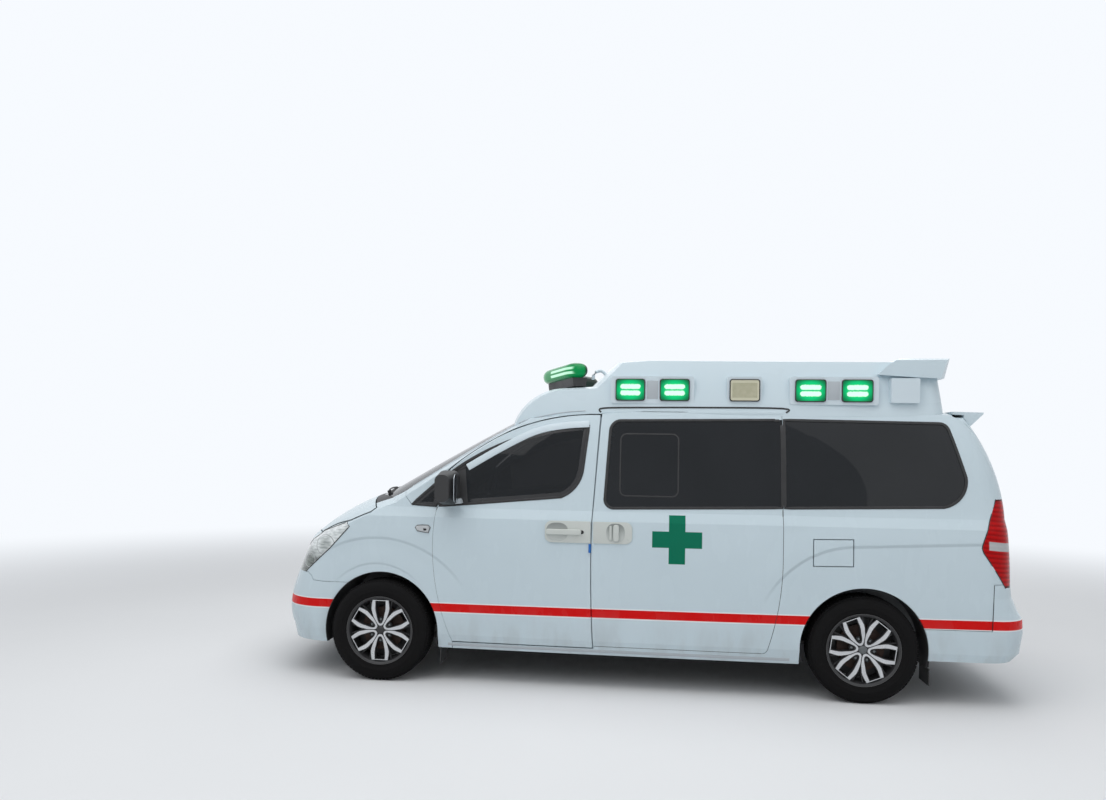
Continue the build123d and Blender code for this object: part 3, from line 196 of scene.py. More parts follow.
# Name, two tones, drift scale, roughness and its spread, grain and its scale
plainPaint = speckled("roofPaint", (0.61, 0.71, 0.76), (0.57, 0.67, 0.72), 1.4, 0.24, 0.12, 0.05, 320.0,
                      Coat_Weight=0.10, Coat_Roughness=0.05, IOR=1.4, Specular_IOR_Level=0.2)
creamPaint = speckled("handlePaint", (0.60, 0.63, 0.60), (0.54, 0.57, 0.54), 6.0, 0.26, 0.12, 0.04, 500.0)
blackPlastic = speckled("blackPlastic", (0.014, 0.014, 0.015), (0.030, 0.030, 0.031), 5.0, 0.42, 0.22, 0.25,
                        1400.0)
glossBlack = speckled("glossBlack", (0.008, 0.008, 0.009), (0.016, 0.016, 0.018), 5.0, 0.12, 0.10, 0.03,
                      300.0)
greyPlastic = speckled("greyPlastic", (0.115, 0.120, 0.128), (0.085, 0.090, 0.096), 4.0, 0.55, 0.2, 0.3,
                       1100.0)
greyTrim = speckled("greyTrim", (0.13, 0.14, 0.145), (0.09, 0.10, 0.105), 5.0, 0.38, 0.2, 0.08, 700.0)
rubber = speckled("sealRubber", (0.010, 0.010, 0.011), (0.020, 0.020, 0.021), 20.0, 0.55, 0.2, 0.2, 1500.0)
brushedSilver = speckled("machinedAlloy", (0.66, 0.67, 0.68), (0.52, 0.53, 0.55), 30.0, 0.24, 0.2, 0.06,
                         2400.0, Metallic=0.85)
darkAlloy = speckled("blackAlloy", (0.012, 0.012, 0.013), (0.028, 0.028, 0.030), 30.0, 0.30, 0.25, 0.08,
                     900.0)
steel = speckled("underbodySteel", (0.040, 0.040, 0.042), (0.085, 0.075, 0.065), 7.0, 0.55, 0.3, 0.35, 300.0,
                 Metallic=0.4)
rust = speckled("brakeIron", (0.10, 0.055, 0.040), (0.055, 0.045, 0.042), 40.0, 0.6, 0.25, 0.3, 600.0,
                Metallic=0.5)
castIron = speckled("castIron", (0.10, 0.10, 0.105), (0.16, 0.155, 0.15), 12.0, 0.5, 0.3, 0.5, 500.0,
                    Metallic=0.6)
chrome = speckled("chrome", (0.80, 0.81, 0.82), (0.72, 0.73, 0.75), 9.0, 0.08, 0.10, Metallic=1.0)
mirrorGlass = speckled("mirrorGlass", (0.70, 0.74, 0.78), (0.62, 0.66, 0.70), 2.0, 0.02, 0.02, Metallic=1.0)
plateWhite = speckled("plateWhite", (0.60, 0.61, 0.60), (0.52, 0.53, 0.52), 12.0, 0.35, 0.15, 0.1, 300.0)
greyPad = speckled("greyPad", (0.46, 0.50, 0.53), (0.41, 0.45, 0.48), 8.0, 0.4, 0.2, 0.1, 600.0)
blueFoam = speckled("blueFoam", (0.02, 0.12, 0.42), (0.03, 0.17, 0.50), 60.0, 0.8, 0.1, 0.6, 900.0)
whitePlastic = speckled("whitePlastic", (0.64, 0.73, 0.78), (0.59, 0.68, 0.73), 3.0, 0.34, 0.15, 0.08, 500.0)


def makeGlass():
    # Front panes are a light tint, everything behind the front doors is nearly black
    made = Finish("tintedGlass", Roughness=0.02, IOR=1.5, Specular_IOR_Level=0.25)
    rear = made.ramp(made.x, frontAxle + 1.43, frontAxle + 1.46)
    haze = made.noise(3.0, 3.0)
    made.set("Base_Color", made.mix(haze, (0.006, 0.008, 0.010), (0.012, 0.014, 0.017)))
    made.set("Alpha", rear * 0.19 + haze * 0.03 + 0.77)
    return made.material


def makeVinyl():
    # Underside dark, cab and load floor in grey studded vinyl
    made = Finish("floorVinyl", IOR=1.5)
    top = made.ramp(made.z, 0.432, 0.436)
    drift = made.noise(8.0, 4.0)
    studs = made.node("ShaderNodeTexVoronoi", {}, {"Vector": made.place, "Scale": 70.0}, "Distance")
    made.set("Base_Color", made.mix(top, made.mix(drift, (0.018, 0.018, 0.019), (0.042, 0.038, 0.034)),
                                    made.mix(drift, (0.20, 0.21, 0.22), (0.15, 0.16, 0.17))))
    made.set("Roughness", drift * 0.25 + 0.5)
    made.bump(made.ramp(studs, 0.2, 0.5) * top + made.noise(300.0) * 0.3, 0.3, 0.0015)
    return made.material


def makeRoofLamp():
    # Five lenses a side: two LED rows behind green lenses, and a clear work lamp in the middle
    lamp = {"lit": (1.684, 1.982, 2.873, 3.172), "clear": 2.446, "level": 2.017, "rowGap": 0.0215,
            "rowHalf": 0.068, "rowEnd": 0.016}
    made = Finish("roofLampLens", IOR=1.49, Coat_Weight=0.05, Coat_Roughness=0.05, Specular_IOR_Level=0.12,
                  Emission_Strength=0.95)
    x, z = made.x - frontAxle, made.z - lamp["level"]
    offset = abs(x - lamp["lit"][0])
    for place in lamp["lit"][1:]:
        offset = offset.least(abs(x - place))
    row = abs(abs(z) - lamp["rowGap"])
    dx = (offset - lamp["rowHalf"] + lamp["rowEnd"]).most(0.0)
    core = (dx * dx + row * row).root()
    hot = 1 - made.ramp(core + made.noise(140.0, 1.0) * 0.008, 0.0165, 0.0235)
    glow = 1 - made.ramp((offset * offset + z * z * 1.6).root(), 0.05, 0.125)
    clear = made.band(x, lamp["clear"] - 0.11, lamp["clear"] + 0.11)
    flutes = made.node("ShaderNodeTexChecker", {}, {"Vector": made.place, "Scale": 220.0}, "Fac")
    green = made.mix(glow, (0.0, 0.10, 0.035), (0.0, 0.30, 0.09))
    cream = made.mix(made.noise(30.0, 4.0), (0.40, 0.39, 0.27), (0.56, 0.54, 0.40))
    rim = made.ramp((abs(x - lamp["clear"]) - 0.080).most(abs(z) - 0.048), 0.0, 0.004)
    cream = made.mix(rim, cream, (0.64, 0.62, 0.47))
    made.set("Base_Color", made.mix(clear, green, cream))
    made.set("Roughness", made.noise(40.0) * 0.15 + 0.12)
    lit = made.mix(hot, made.mix(glow, (0.0, 0.06, 0.02), (0.0, 0.46, 0.15)), (0.84, 1.0, 0.93))
    made.set("Emission_Color", made.mix(clear, lit, (0.0, 0.0, 0.0)))
    made.bump(flutes, 0.35, 0.0012)
    return made.material


def makeBarLens():
    # The bar glows forward of its ridge and is smoked behind it, with two rows of LEDs a side
    bar = {"front": 1.060, "sweep": 0.290 / 0.610, "level": 2.171, "rowGap": 0.016, "module": (0.21, 0.58)}
    made = Finish("barLens", IOR=1.49, Coat_Weight=0.04, Specular_IOR_Level=0.12, Coat_Roughness=0.03,
                  Emission_Strength=0.9)
    y = abs(made.y)
    back = made.x - frontAxle - bar["front"] - y * bar["sweep"]
    front = 1 - made.ramp(back, 0.0, 0.035)
    row = abs(abs(made.z - bar["level"]) - bar["rowGap"])
    lit = (1 - made.ramp(row, 0.007, 0.011)) * made.band(y, *bar["module"], 0.012) * front
    glow = made.band(made.z, 2.128, 2.216, 0.018) * front
    made.set("Base_Color", made.mix(front, (0.004, 0.008, 0.006), (0.0, 0.12, 0.03)))
    made.set("Roughness", made.noise(20.0) * 0.12 + 0.06)
    unlit = made.mix(glow, (0.0, 0.01, 0.004), (0.0, 0.17, 0.045))
    made.set("Emission_Color", made.mix(lit, unlit, (0.62, 1.0, 0.78)))
    ribs = (made.z * 420.0).wave()
    made.bump(ribs * 0.5 + 0.5, 0.2, 0.001)
    return made.material


def makeTailLamp():
    # Deep red with rounded cross ribs, and a clear reversing band behind the lamp's front third
    made = Finish("tailLampLens", IOR=1.49, Coat_Weight=0.03, Coat_Roughness=0.03, Specular_IOR_Level=0.08)
    level = made.z + made.x * 0.10
    clear = made.band(level, 1.232, 1.286, 0.003) * made.ramp(made.x, frontAxle + 3.946, frontAxle + 3.956)
    ribs = (level * 216.0).wave()
    rim = made.band(made.z, 0.780, 1.312, 0.002)
    red = made.mix(made.ramp(ribs, -0.9, 0.6), (0.33, 0.001, 0.002), (0.48, 0.003, 0.004))
    base = made.mix(clear, red, (0.46, 0.47, 0.48))
    made.set("Base_Color", made.mix(rim, (0.10, 0.002, 0.002), base))
    made.set("Roughness", made.noise(25.0) * 0.10 + 0.10)
    made.bump((ribs * 0.8 + (made.y * 900.0).wave() * 0.2) * rim, 0.35, 0.002)
    return made.material


def makeHeadlamp():
    # Pale reflector above, a dark streaked lower half with two round bowls, all under clear plastic
    made = Finish("headlampLens", IOR=1.49, Coat_Weight=0.6, Coat_Roughness=0.02)
    x, z = made.x - frontAxle, made.z
    rise = z + x * 0.35
    down = 1 - made.ramp(rise, 0.60, 0.74)
    bowl = ring = None
    for cx, cz, size in ((-0.425, 0.915, 0.072), (-0.560, 0.800, 0.052)):
        dx, dz = x - cx, z - cz
        far = (dx * dx * 0.8 + dz * dz).root()
        one, well = made.band(far, size - 0.006, size, 0.002), 1 - made.ramp(far, size * 0.3, size * 0.9)
        ring, bowl = (one, well) if ring is None else (ring.most(one), bowl.most(well))
    streaks = made.noise(16.0, 3.0, (1.0, 1.0, 5.0))
    shine = made.mix(made.ramp(streaks, 0.35, 0.65), (0.50, 0.54, 0.54), (0.80, 0.84, 0.84))
    dark = made.mix(made.ramp(streaks, 0.40, 0.62), (0.030, 0.040, 0.036), (0.16, 0.19, 0.17))
    base = made.mix(down, shine, dark)
    base = made.mix(bowl * 0.45, base, (0.045, 0.070, 0.050))
    made.set("Base_Color", made.mix(ring, base, (0.30, 0.32, 0.32)))
    made.set("Metallic", (1 - ring) * 0.15)
    made.set("Roughness", made.noise(14.0) * 0.2 + 0.08)
    made.bump((x * 260.0).wave() * 0.5 + 0.5, 0.2, 0.002)
    return made.material


def makeTyreRubber():
    made = Finish("tyreRubber", IOR=1.45, Specular_IOR_Level=0.1)
    drift = made.noise(14.0, 4.0)
    made.set("Base_Color", made.mix(drift, (0.0045, 0.0045, 0.005), (0.011, 0.0105, 0.0105)))
    made.set("Roughness", made.ramp(drift, 0.2, 0.8) * 0.2 + 0.66)
    made.bump(made.noise(600.0, 3.0), 0.3, 0.0006)
    return made.material


def makeFabric(name, colour, second):
    made = Finish(name, Sheen_Weight=0.3, Sheen_Roughness=0.4)
    weave = made.node("ShaderNodeTexBrick", {}, {"Vector": made.place, "Scale": 260.0, "Mortar Size": 0.02},
                      "Fac")
    drift = made.noise(18.0, 4.0)
    made.set("Base_Color", made.mix(drift, colour, second))
    made.set("Roughness", drift * 0.15 + 0.75)
    made.bump(weave + made.noise(500.0) * 0.5, 0.35, 0.0008)
    return made.material


def makeDish():
    # The finger dishes behind the handle grips: painted shade, darker than the plates and darkest towards
    # their upper edge
    made = Finish("dishShade")
    shade = made.ramp(made.z, 1.020, 1.115)
    made.set("Base_Color", made.mix(shade, (0.50, 0.53, 0.51), (0.27, 0.29, 0.28)))
    made.set("Roughness", made.noise(30.0) * 0.15 + 0.3)
    return made.material


dishShade, glass, barLens, tyreRubber = makeDish(), makeGlass(), makeBarLens(), makeTyreRubber()
seatCloth = makeFabric("seatCloth", (0.045, 0.047, 0.052), (0.075, 0.078, 0.085))
weltCloth = makeFabric("weltCloth", (0.012, 0.012, 0.013), (0.022, 0.022, 0.024))
clearLens = speckled("clearLens", (0.55, 0.57, 0.58), (0.42, 0.44, 0.45), 60.0, 0.08, 0.1, 0.5, 260.0,
                     Coat_Weight=1.0)

finishes = {
    paint: "body_side_left body_side_right fender_left fender_right front_bumper rear_bumper "
           "sliding_door_left sliding_door_right front_door_left front_door_right tailgate bonnet fuel_flap",
    plainPaint: "roof_cap roof_wing tailgate_lip",
    creamPaint: "door_handle_left door_handle_right sliding_door_handles",
    glass: "windscreen fixed_side_glass sliding_door_glass door_glass_left door_glass_right tailgate_glass",
    blackPlastic: "grille cowl_panel mud_flaps mirror_left mirror_right light_bar_base steering_wheel",
    greyPlastic: "dashboard bulkhead",
    whitePlastic: "roof_lamp_housings",
    makeRoofLamp(): "roof_lamp_lenses",
    barLens: "light_bar_lens",
    makeHeadlamp(): "headlamps",
    makeTailLamp(): "tail_lamps",
    makeVinyl(): "floor_pan",
    steel: "drive_line rear_axle_beam front_subframe exhaust fuel_tank knuckle_left knuckle_right",
    castIron: "engine_block",
    seatCloth: "front_seats attendant_bench",
    tyreRubber: "tyre_front_left tyre_front_right tyre_rear_left tyre_rear_right",
    darkAlloy: "wheel_front_left wheel_front_right wheel_rear_left wheel_rear_right",
}
for material, names in finishes.items():
    for name in names.split():
        for slot in nodes[name].material_slots:
            slot.material = material
print("finishes set on", sum(len(names.split()) for names in finishes.values()), "nodes")


# Mesh helpers
def addPiece(name, verts, faces, material, body, slot, smooth=30.0):
    mesh = bpy.data.meshes.new(name)
    mesh.from_pydata([tuple(v) for v in verts], [], faces)
    return dressMesh(name, mesh, material, body, smooth)


def dressMesh(name, mesh, material, body, smooth=30.0):
    work = bmesh.new()
    work.from_mesh(mesh)
    bmesh.ops.remove_doubles(work, verts=work.verts, dist=1e-6)
    bmesh.ops.recalc_face_normals(work, faces=work.faces)
    for face in work.faces:
        face.smooth = True
    for edge in work.edges:
        edge.smooth = len(edge.link_faces) == 2 and edge.calc_face_angle(0) < math.radians(smooth)
    work.to_mesh(mesh)
    work.free()
    piece = bpy.data.objects.new(name, mesh)
    bpy.context.scene.collection.objects.link(piece)
    mesh.materials.clear()
    mesh.materials.append(material)
    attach(piece, body)
    return piece


def plainMesh(piece):
    # The evaluated result as one plain mesh, with no modifier left
    deps = bpy.context.evaluated_depsgraph_get()
    mesh = bpy.data.meshes.new_from_object(piece.evaluated_get(deps))
    old = piece.data
    piece.modifiers.clear()
    piece.data = mesh
    bpy.data.meshes.remove(old)
    return piece


def hoopFaces(count, rows, closed=False, start=0, caps=2):
    # Faces between rows of count points, each row a ring, with caps on the first and last row
    made = []
    for row in range(rows if closed else rows - 1):
        a, b = start + row * count, start + (row + 1) % rows * count
        made += [(a + k, a + (k + 1) % count, b + (k + 1) % count, b + k) for k in range(count)]
    ends = [] if closed else [start, start + (rows - 1) * count][:caps]
    return made + [tuple(range(first, first + count)) for first in ends]


def boxFaces(start):
    # A box whose eight points are its two ends in turn
    return [tuple(start + k for k in face)
            for face in ((0, 1, 2, 3), (4, 5, 6, 7), (0, 1, 5, 4), (1, 2, 6, 5), (2, 3, 7, 6), (3, 0, 4, 7))]


def bowed(value, power):
    return math.copysign(abs(value) ** power, value)


def turns(count):
    # Cosine and sine of equal steps round a circle
    return [(math.cos(2 * math.pi * k / count), math.sin(2 * math.pi * k / count)) for k in range(count)]


def arc(first, through, last, steps=12):
    # Points of the circle through three points, in side view
    (ax, az), (bx, bz), (cx, cz) = first, through, last
    a, b, c = ax ** 2 + az ** 2, bx ** 2 + bz ** 2, cx ** 2 + cz ** 2
    d = 2 * (ax * (bz - cz) + bx * (cz - az) + cx * (az - bz))
    ux = (a * (bz - cz) + b * (cz - az) + c * (az - bz)) / d
    uz = (a * (cx - bx) + b * (ax - cx) + c * (bx - ax)) / d
    angles = [math.atan2(z - uz, x - ux) for x, z in (first, through, last)]
    sweep = (angles[2] - angles[0]) % (2 * math.pi)
    if (angles[1] - angles[0]) % (2 * math.pi) > sweep:
        sweep -= 2 * math.pi
    radius = math.hypot(ax - ux, az - uz)
    turned = [angles[0] + sweep * i / steps for i in range(steps + 1)]
    return [(ux + radius * math.cos(angle), uz + radius * math.sin(angle)) for angle in turned]


def divided(points, longest=60.0, closed=False):
    ends = points[1:] + (points[:1] if closed else [])
    made = []
    for (x0, z0), (x1, z1) in zip(points, ends):
        parts = max(1, math.ceil(math.hypot(x1 - x0, z1 - z0) / longest))
        made += [(x0 + (x1 - x0) * i / parts, z0 + (z1 - z0) * i / parts) for i in range(parts)]
    return made if closed else made + [points[-1]]


def flowing(points, steps=5):
    # A smooth line through the points
    ends = [points[0]] + list(points) + [points[-1]]
    made = []
    for near in zip(ends, ends[1:], ends[2:], ends[3:]):
        for i in range(steps):
            t = i / steps
            made.append(tuple(0.5 * (2 * q + (r - p) * t + (2 * p - 5 * q + 4 * r - s) * t * t
                                     + (3 * q - p - 3 * r + s) * t ** 3) for p, q, r, s in zip(*near)))
    return made + [points[-1]]


def closedLine(*parts):
    line = []
    for part in parts:
        line += part if not line else part[1:]
    return line[:-1]


def rounded(across, tall, radius, steps=5, middle=(0, 0)):
    made = []
    for cx, cy, start in ((1, 1, 0), (-1, 1, 90), (-1, -1, 180), (1, -1, 270)):
        for i in range(steps + 1):
            angle = math.radians(start + 90 * i / steps)
            made.append((middle[0] + (cx * (across / 2 - radius) + radius * math.cos(angle)),
                         middle[1] + (cy * (tall / 2 - radius) + radius * math.sin(angle))))
    return made


def surfaceOf(*names):
    verts, faces = [], []
    for name in names:
        mesh = nodes[name].data
        base = len(verts)
        verts += [v.co.copy() for v in mesh.vertices]
        faces += [[base + i for i in face.vertices] for face in mesh.polygons]
    return BVHTree.FromPolygons(verts, faces)


sideSkin = surfaceOf("body_side_left", "front_door_left", "sliding_door_left", "door_glass_left",
                     "sliding_door_glass", "fixed_side_glass", "fender_left", "front_bumper", "rear_bumper",
                     "windscreen")


def besideLine(points, out):
    # The closed line moved outwards by out millimetres
    area = sum(x0 * z1 - x1 * z0 for (x0, z0), (x1, z1) in zip(points, points[1:] + points[:1]))
    way = 1 if area > 0 else -1
    made = []
    for i, (x, z) in enumerate(points):
        (xa, za), (xb, zb) = points[i - 1], points[(i + 1) % len(points)]
        dx, dz = xb - xa, zb - za
        size = math.hypot(dx, dz)
        made.append((x + way * out * dz / size, z - way * out * dx / size))
    return made


def onSide(points, skin=sideSkin, probes=None):
    # Side-view points in millimetres dropped on the left side: place and outward normal.
    # With probes the skin is felt there, clear of a window's step, and carried back to the point.
    made = []
    for (x, z), (qx, qz) in zip(points, probes or points):
        px, pz = mm(qx, qz)
        place, normal, index, far = skin.ray_cast(Vector((px, -1.4, pz)), Vector((0, 1, 0)))
        if place is None:
            place, normal, index, far = skin.find_nearest(Vector((px, -0.95, pz)))
        if normal.y > 0:
            normal = -normal
        tx, tz = mm(x, z)
        fall = (normal.x * (tx - px) + normal.z * (tz - pz)) / normal.y
        made.append((Vector((tx, place.y - fall, tz)), normal))
    return made


def onFace(points, skin, facing):
    # Points (Y, Z) of the front or rear view dropped on that face
    made = []
    for y, z in points:
        place, normal, index, far = skin.ray_cast(Vector((4 * facing, y, z)), Vector((-facing, 0, 0)))
        made.append((place, normal if normal.x * facing > 0 else -normal))
    return made


def patch(name, outline, height, material, slot, sink=0.003, dome=0.0):
    # A low raised patch that follows the side, one on each side of the body
    middle = (sum(x for x, z in outline) / len(outline), sum(z for x, z in outline) / len(outline))
    for side, tag in bothSides:
        verts, count = [], len(outline)
        rim = onSide(outline)
        inner = onSide([(middle[0] + (x - middle[0]) * 0.93, middle[1] + (z - middle[1]) * 0.90)
                        for x, z in outline])
        centre = onSide([middle])[0]
        for ring, lift in ((rim, -sink), (rim, height * 0.6), (inner, height + dome * 0.4)):
            verts += [place + normal * lift for place, normal in ring]
        verts += [centre[0] + centre[1] * (height + dome), centre[0] - centre[1] * sink]
        faces = []
        for k in range(count):
            j = (k + 1) % count
            faces += [(k, j, count + j, count + k), (count + k, count + j, 2 * count + j, 2 * count + k),
                      (2 * count + k, 2 * count + j, 3 * count), (k, j, 3 * count + 1)]
        addPiece(f"{name}_{tag}", [(v.x, v.y * -side, v.z) for v in verts], faces, material, "body", slot)


def ribbon(name, path, width, height, material, body, slot, closed=False, sink=0.002, crown=0.3,
           single=False):
    # A strip laid on the surface: its back sinks in a little, its face is chamfered. One on each side.
    for side, tag in bothSides[:1] if single else bothSides:
        verts, count = [], len(path)
        for i, (place, normal) in enumerate(path):
            before = path[(i - 1) % count if closed else max(i - 1, 0)][0]
            after = path[(i + 1) % count if closed else min(i + 1, count - 1)][0]
            across = (after - before).cross(normal).normalized() * width / 2
            for s, h in ((-1, -sink), (-1, height * (1 - crown)), (-1 + crown, height), (1 - crown, height),
                         (1, height * (1 - crown)), (1, -sink)):
                point = place + across * s + normal * h
                verts.append((point.x, point.y * (-side), point.z))
        rider = body if isinstance(body, str) else body[0 if side < 0 else 1]
        addPiece(name if single else f"{name}_{tag}", verts, hoopFaces(6, count, closed), material, rider,
                 slot)


def slab(name, outline, low, high, place, material, body, bevel=0.0, steps=2):
    # A flat outline made a plate: place() puts (u, v, depth) in the frame
    count = len(outline)
    mesh = bpy.data.meshes.new(name)
    verts = [place(u, v, depth) for depth in (low, high) for u, v in outline]
    sides = [(i, (i + 1) % count, count + (i + 1) % count, count + i) for i in range(count)]
    faces = [tuple(range(count)), tuple(range(count, 2 * count))] + sides
    mesh.from_pydata([tuple(v) for v in verts], [], faces)
    if bevel:
        work = bmesh.new()
        work.from_mesh(mesh)
        bmesh.ops.recalc_face_normals(work, faces=work.faces)
        sharp = [e for e in work.edges if e.calc_face_angle(0) > 0.5]
        bmesh.ops.bevel(work, geom=sharp, offset=bevel, segments=steps, affect="EDGES", profile=0.6)
        work.to_mesh(mesh)
        work.free()
    return dressMesh(name, mesh, material, body)


def outwards(side):
    # Puts a side view's outline at a depth out from the middle on one side
    return lambda u, v, d: (u, side * d, v)


def lathe(name, profile, centre, side, material, body, slot, steps=96, smooth=30.0, start=0.0, sweep=360.0):
    # profile: (distance outward, radius); closed all round, or an arc of it with closed ends
    full = sweep >= 360
    rows = steps if full else steps + 1
    verts = []
    for i in range(rows):
        angle = math.radians(start + sweep * i / steps)
        for out, radius in profile:
            verts.append((centre[0] + radius * math.cos(angle), centre[1] + side * out,
                          centre[2] + radius * math.sin(angle)))
    return addPiece(name, verts, hoopFaces(len(profile), rows, full), material, body, slot, smooth)


def tube(name, points, radius, material, body, slot, steps=10):
    # A round rod or pipe along points, its ends closed
    verts = []
    points = [Vector(point) for point in points]
    for i, point in enumerate(points):
        way = (points[min(i + 1, len(points) - 1)] - points[max(i - 1, 0)]).normalized()
        across = way.cross(Vector((0, 0, 1)) if abs(way.z) < 0.9 else Vector((1, 0, 0))).normalized()
        other = way.cross(across)
        verts += [point + (across * c + other * d) * radius for c, d in turns(steps)]
    return addPiece(name, verts, hoopFaces(steps, len(points)), material, body, slot, 50)


# Repeated parts
def makeRepeatTree():
    # Copies of the piece around an axle that runs across the vehicle
    tree = bpy.data.node_groups.new("repeatPiece", "GeometryNodeTree")
    sockets = {}
    for label, kind in (("Geometry", "NodeSocketGeometry"), ("Count", "NodeSocketInt"),
                        ("First", "NodeSocketVector"), ("Start angle", "NodeSocketFloat"),
                        ("Step angle", "NodeSocketFloat"), ("Material", "NodeSocketMaterial")):
        sockets[label] = tree.interface.new_socket(label, in_out="INPUT", socket_type=kind).identifier
    tree.interface.new_socket("Geometry", in_out="OUTPUT", socket_type="NodeSocketGeometry")
    new = tree.nodes.new
    given, result = new("NodeGroupInput"), new("NodeGroupOutput")
    points, index = new("GeometryNodePoints"), new("GeometryNodeInputIndex")
    angle, turn = new("ShaderNodeMath"), new("ShaderNodeCombineXYZ")
    angle.operation = "MULTIPLY_ADD"
    euler, copies = new("FunctionNodeEulerToRotation"), new("GeometryNodeInstanceOnPoints")
    solid, finish = new("GeometryNodeRealizeInstances"), new("GeometryNodeSetMaterial")
    for source, give, target, take in (
            (given, "Count", points, "Count"), (given, "First", points, "Position"), (index, 0, angle, 0),
            (given, "Step angle", angle, 1), (given, "Start angle", angle, 2), (angle, 0, turn, "Y"),
            (turn, 0, euler, 0), (points, 0, copies, "Points"), (given, "Geometry", copies, "Instance"),
            (euler, 0, copies, "Rotation"), (copies, 0, solid, 0), (solid, 0, finish, "Geometry"),
            (given, "Material", finish, "Material"), (finish, 0, result, 0)):
        tree.links.new(source.outputs[give], target.inputs[take])
    return tree, sockets


repeatTree, repeatSockets = makeRepeatTree()


def repeated(piece, count, centre, startAngle=0.0):
    modifier = piece.modifiers.new("repeat", "NODES")
    modifier.node_group = repeatTree
    for label, value in (("Count", count), ("First", centre), ("Start angle", startAngle),
                         ("Step angle", 2 * math.pi / count), ("Material", piece.data.materials[0])):
        modifier[repeatSockets[label]] = value
    return plainMesh(piece)


# Wheels and tyres: lists of (distance outward, radius) about the axle
wheelLook = {
    "radius": 0.345, "face": 0.084, "tread": 84, "treadDepth": 0.007, "petals": 6, "nutRadius": 0.071,
    # Tread rows: middle and width across the tyre, skew
    "rows": ((0.0, 0.022, 0.0), (-0.034, 0.026, 0.006), (0.034, 0.026, -0.006), (-0.070, 0.026, 0.004),
             (0.070, 0.026, -0.004)),
    "blockPart": 0.87,
    "wall": [(0.0985, 0.320), (0.1045, 0.304), (0.1072, 0.290), (0.1068, 0.276), (0.1075, 0.2745),
             (0.1075, 0.2705), (0.1062, 0.269), (0.1035, 0.256), (0.1010, 0.250), (0.1016, 0.2485),
             (0.1010, 0.2455), (0.0985, 0.240), (0.0955, 0.2365), (0.0935, 0.2260), (0.0930, 0.2222)],
    "barrel": [(-0.098, 0.214), (-0.098, 0.231), (-0.0945, 0.233), (-0.0930, 0.2215), (-0.088, 0.2210),
               (0.088, 0.2210), (0.0930, 0.2215), (0.0945, 0.2325), (0.0985, 0.2330), (0.0995, 0.2310),
               (0.0985, 0.2275), (0.0930, 0.2175), (0.088, 0.2150), (0.060, 0.2080), (0.020, 0.2020),
               (-0.080, 0.2060)],
    "lip": [(0.0972, 0.2300), (0.0995, 0.2318), (0.0998, 0.2330), (0.0985, 0.2336), (0.0965, 0.2325)],
    "pocket": [(0.050, 0.0165), (0.0735, 0.0165), (0.0740, 0.0150), (0.0640, 0.0125), (0.0640, 0.0005),
               (0.050, 0.0005)],
    "nut": [(0.062, 0.0095), (0.0715, 0.0092), (0.0745, 0.0075), (0.0765, 0.0045), (0.0772, 0.0005),
            (0.062, 0.0005)],
    "hub": [(0.030, 0.0005), (0.030, 0.060), (0.070, 0.058), (0.0745, 0.050), (0.0745, 0.029), (0.078, 0.029),
            (0.078, 0.0005)],
    "cap": [(0.076, 0.0005), (0.076, 0.0265), (0.0795, 0.0265), (0.0815, 0.0235), (0.0810, 0.0200),
            (0.0835, 0.0170), (0.0840, 0.0005)],
    "shield": [(-0.030, 0.064), (-0.030, 0.198), (-0.026, 0.202), (-0.022, 0.198), (-0.022, 0.064)],
    "disc": [(-0.012, 0.056), (-0.012, 0.150), (-0.004, 0.150), (-0.002, 0.150), (0.010, 0.150),
             (0.010, 0.066), (0.022, 0.062), (0.022, 0.056)]}
# Half outlines of a petal: radius, half width
petalOuter = [(0.029, 0.0), (0.031, 0.010), (0.040, 0.0195), (0.056, 0.0290), (0.072, 0.0385),
              (0.088, 0.0465), (0.108, 0.0530), (0.130, 0.0600), (0.148, 0.0630), (0.172, 0.0610),
              (0.205, 0.0560)]
petalInner = [(0.043, 0.0), (0.045, 0.008), (0.054, 0.0150), (0.068, 0.0205), (0.085, 0.0250),
              (0.105, 0.0290), (0.130, 0.0350), (0.150, 0.0375), (0.175, 0.0370), (0.190, 0.0368),
              (0.2005, 0.0365)]


def petalBand(grow, face, depth, bend):
    # One petal: a band between two outlines, square on the face, drawn upwards from the hub
    outer = [(r, w + grow * (w > 0)) for r, w in petalOuter]
    inner = [(r, max(w - grow, 0.0)) for r, w in petalInner]
    verts, faces = [], []
    for line in (outer, inner):
        ring = line + [(r, -w) for r, w in line[:0:-1]]
        for drop in (0.0, depth):
            verts += [(w, -(face - bend * max(0.0, (0.10 - r) / 0.06) - drop), r) for r, w in ring]
    count = len(ring)
    outerTop, outerLow, innerTop, innerLow = 0, count, 2 * count, 3 * count
    for i in range(count):
        j = (i + 1) % count
        for a, b in ((outerTop, innerTop), (outerTop, outerLow), (innerTop, innerLow), (outerLow, innerLow)):
            faces.append((a + i, a + j, b + j, b + i))
    return verts, faces


def turnedRight(verts, side):
    return verts if side < 0 else [(-x, -y, z) for x, y, z in verts]


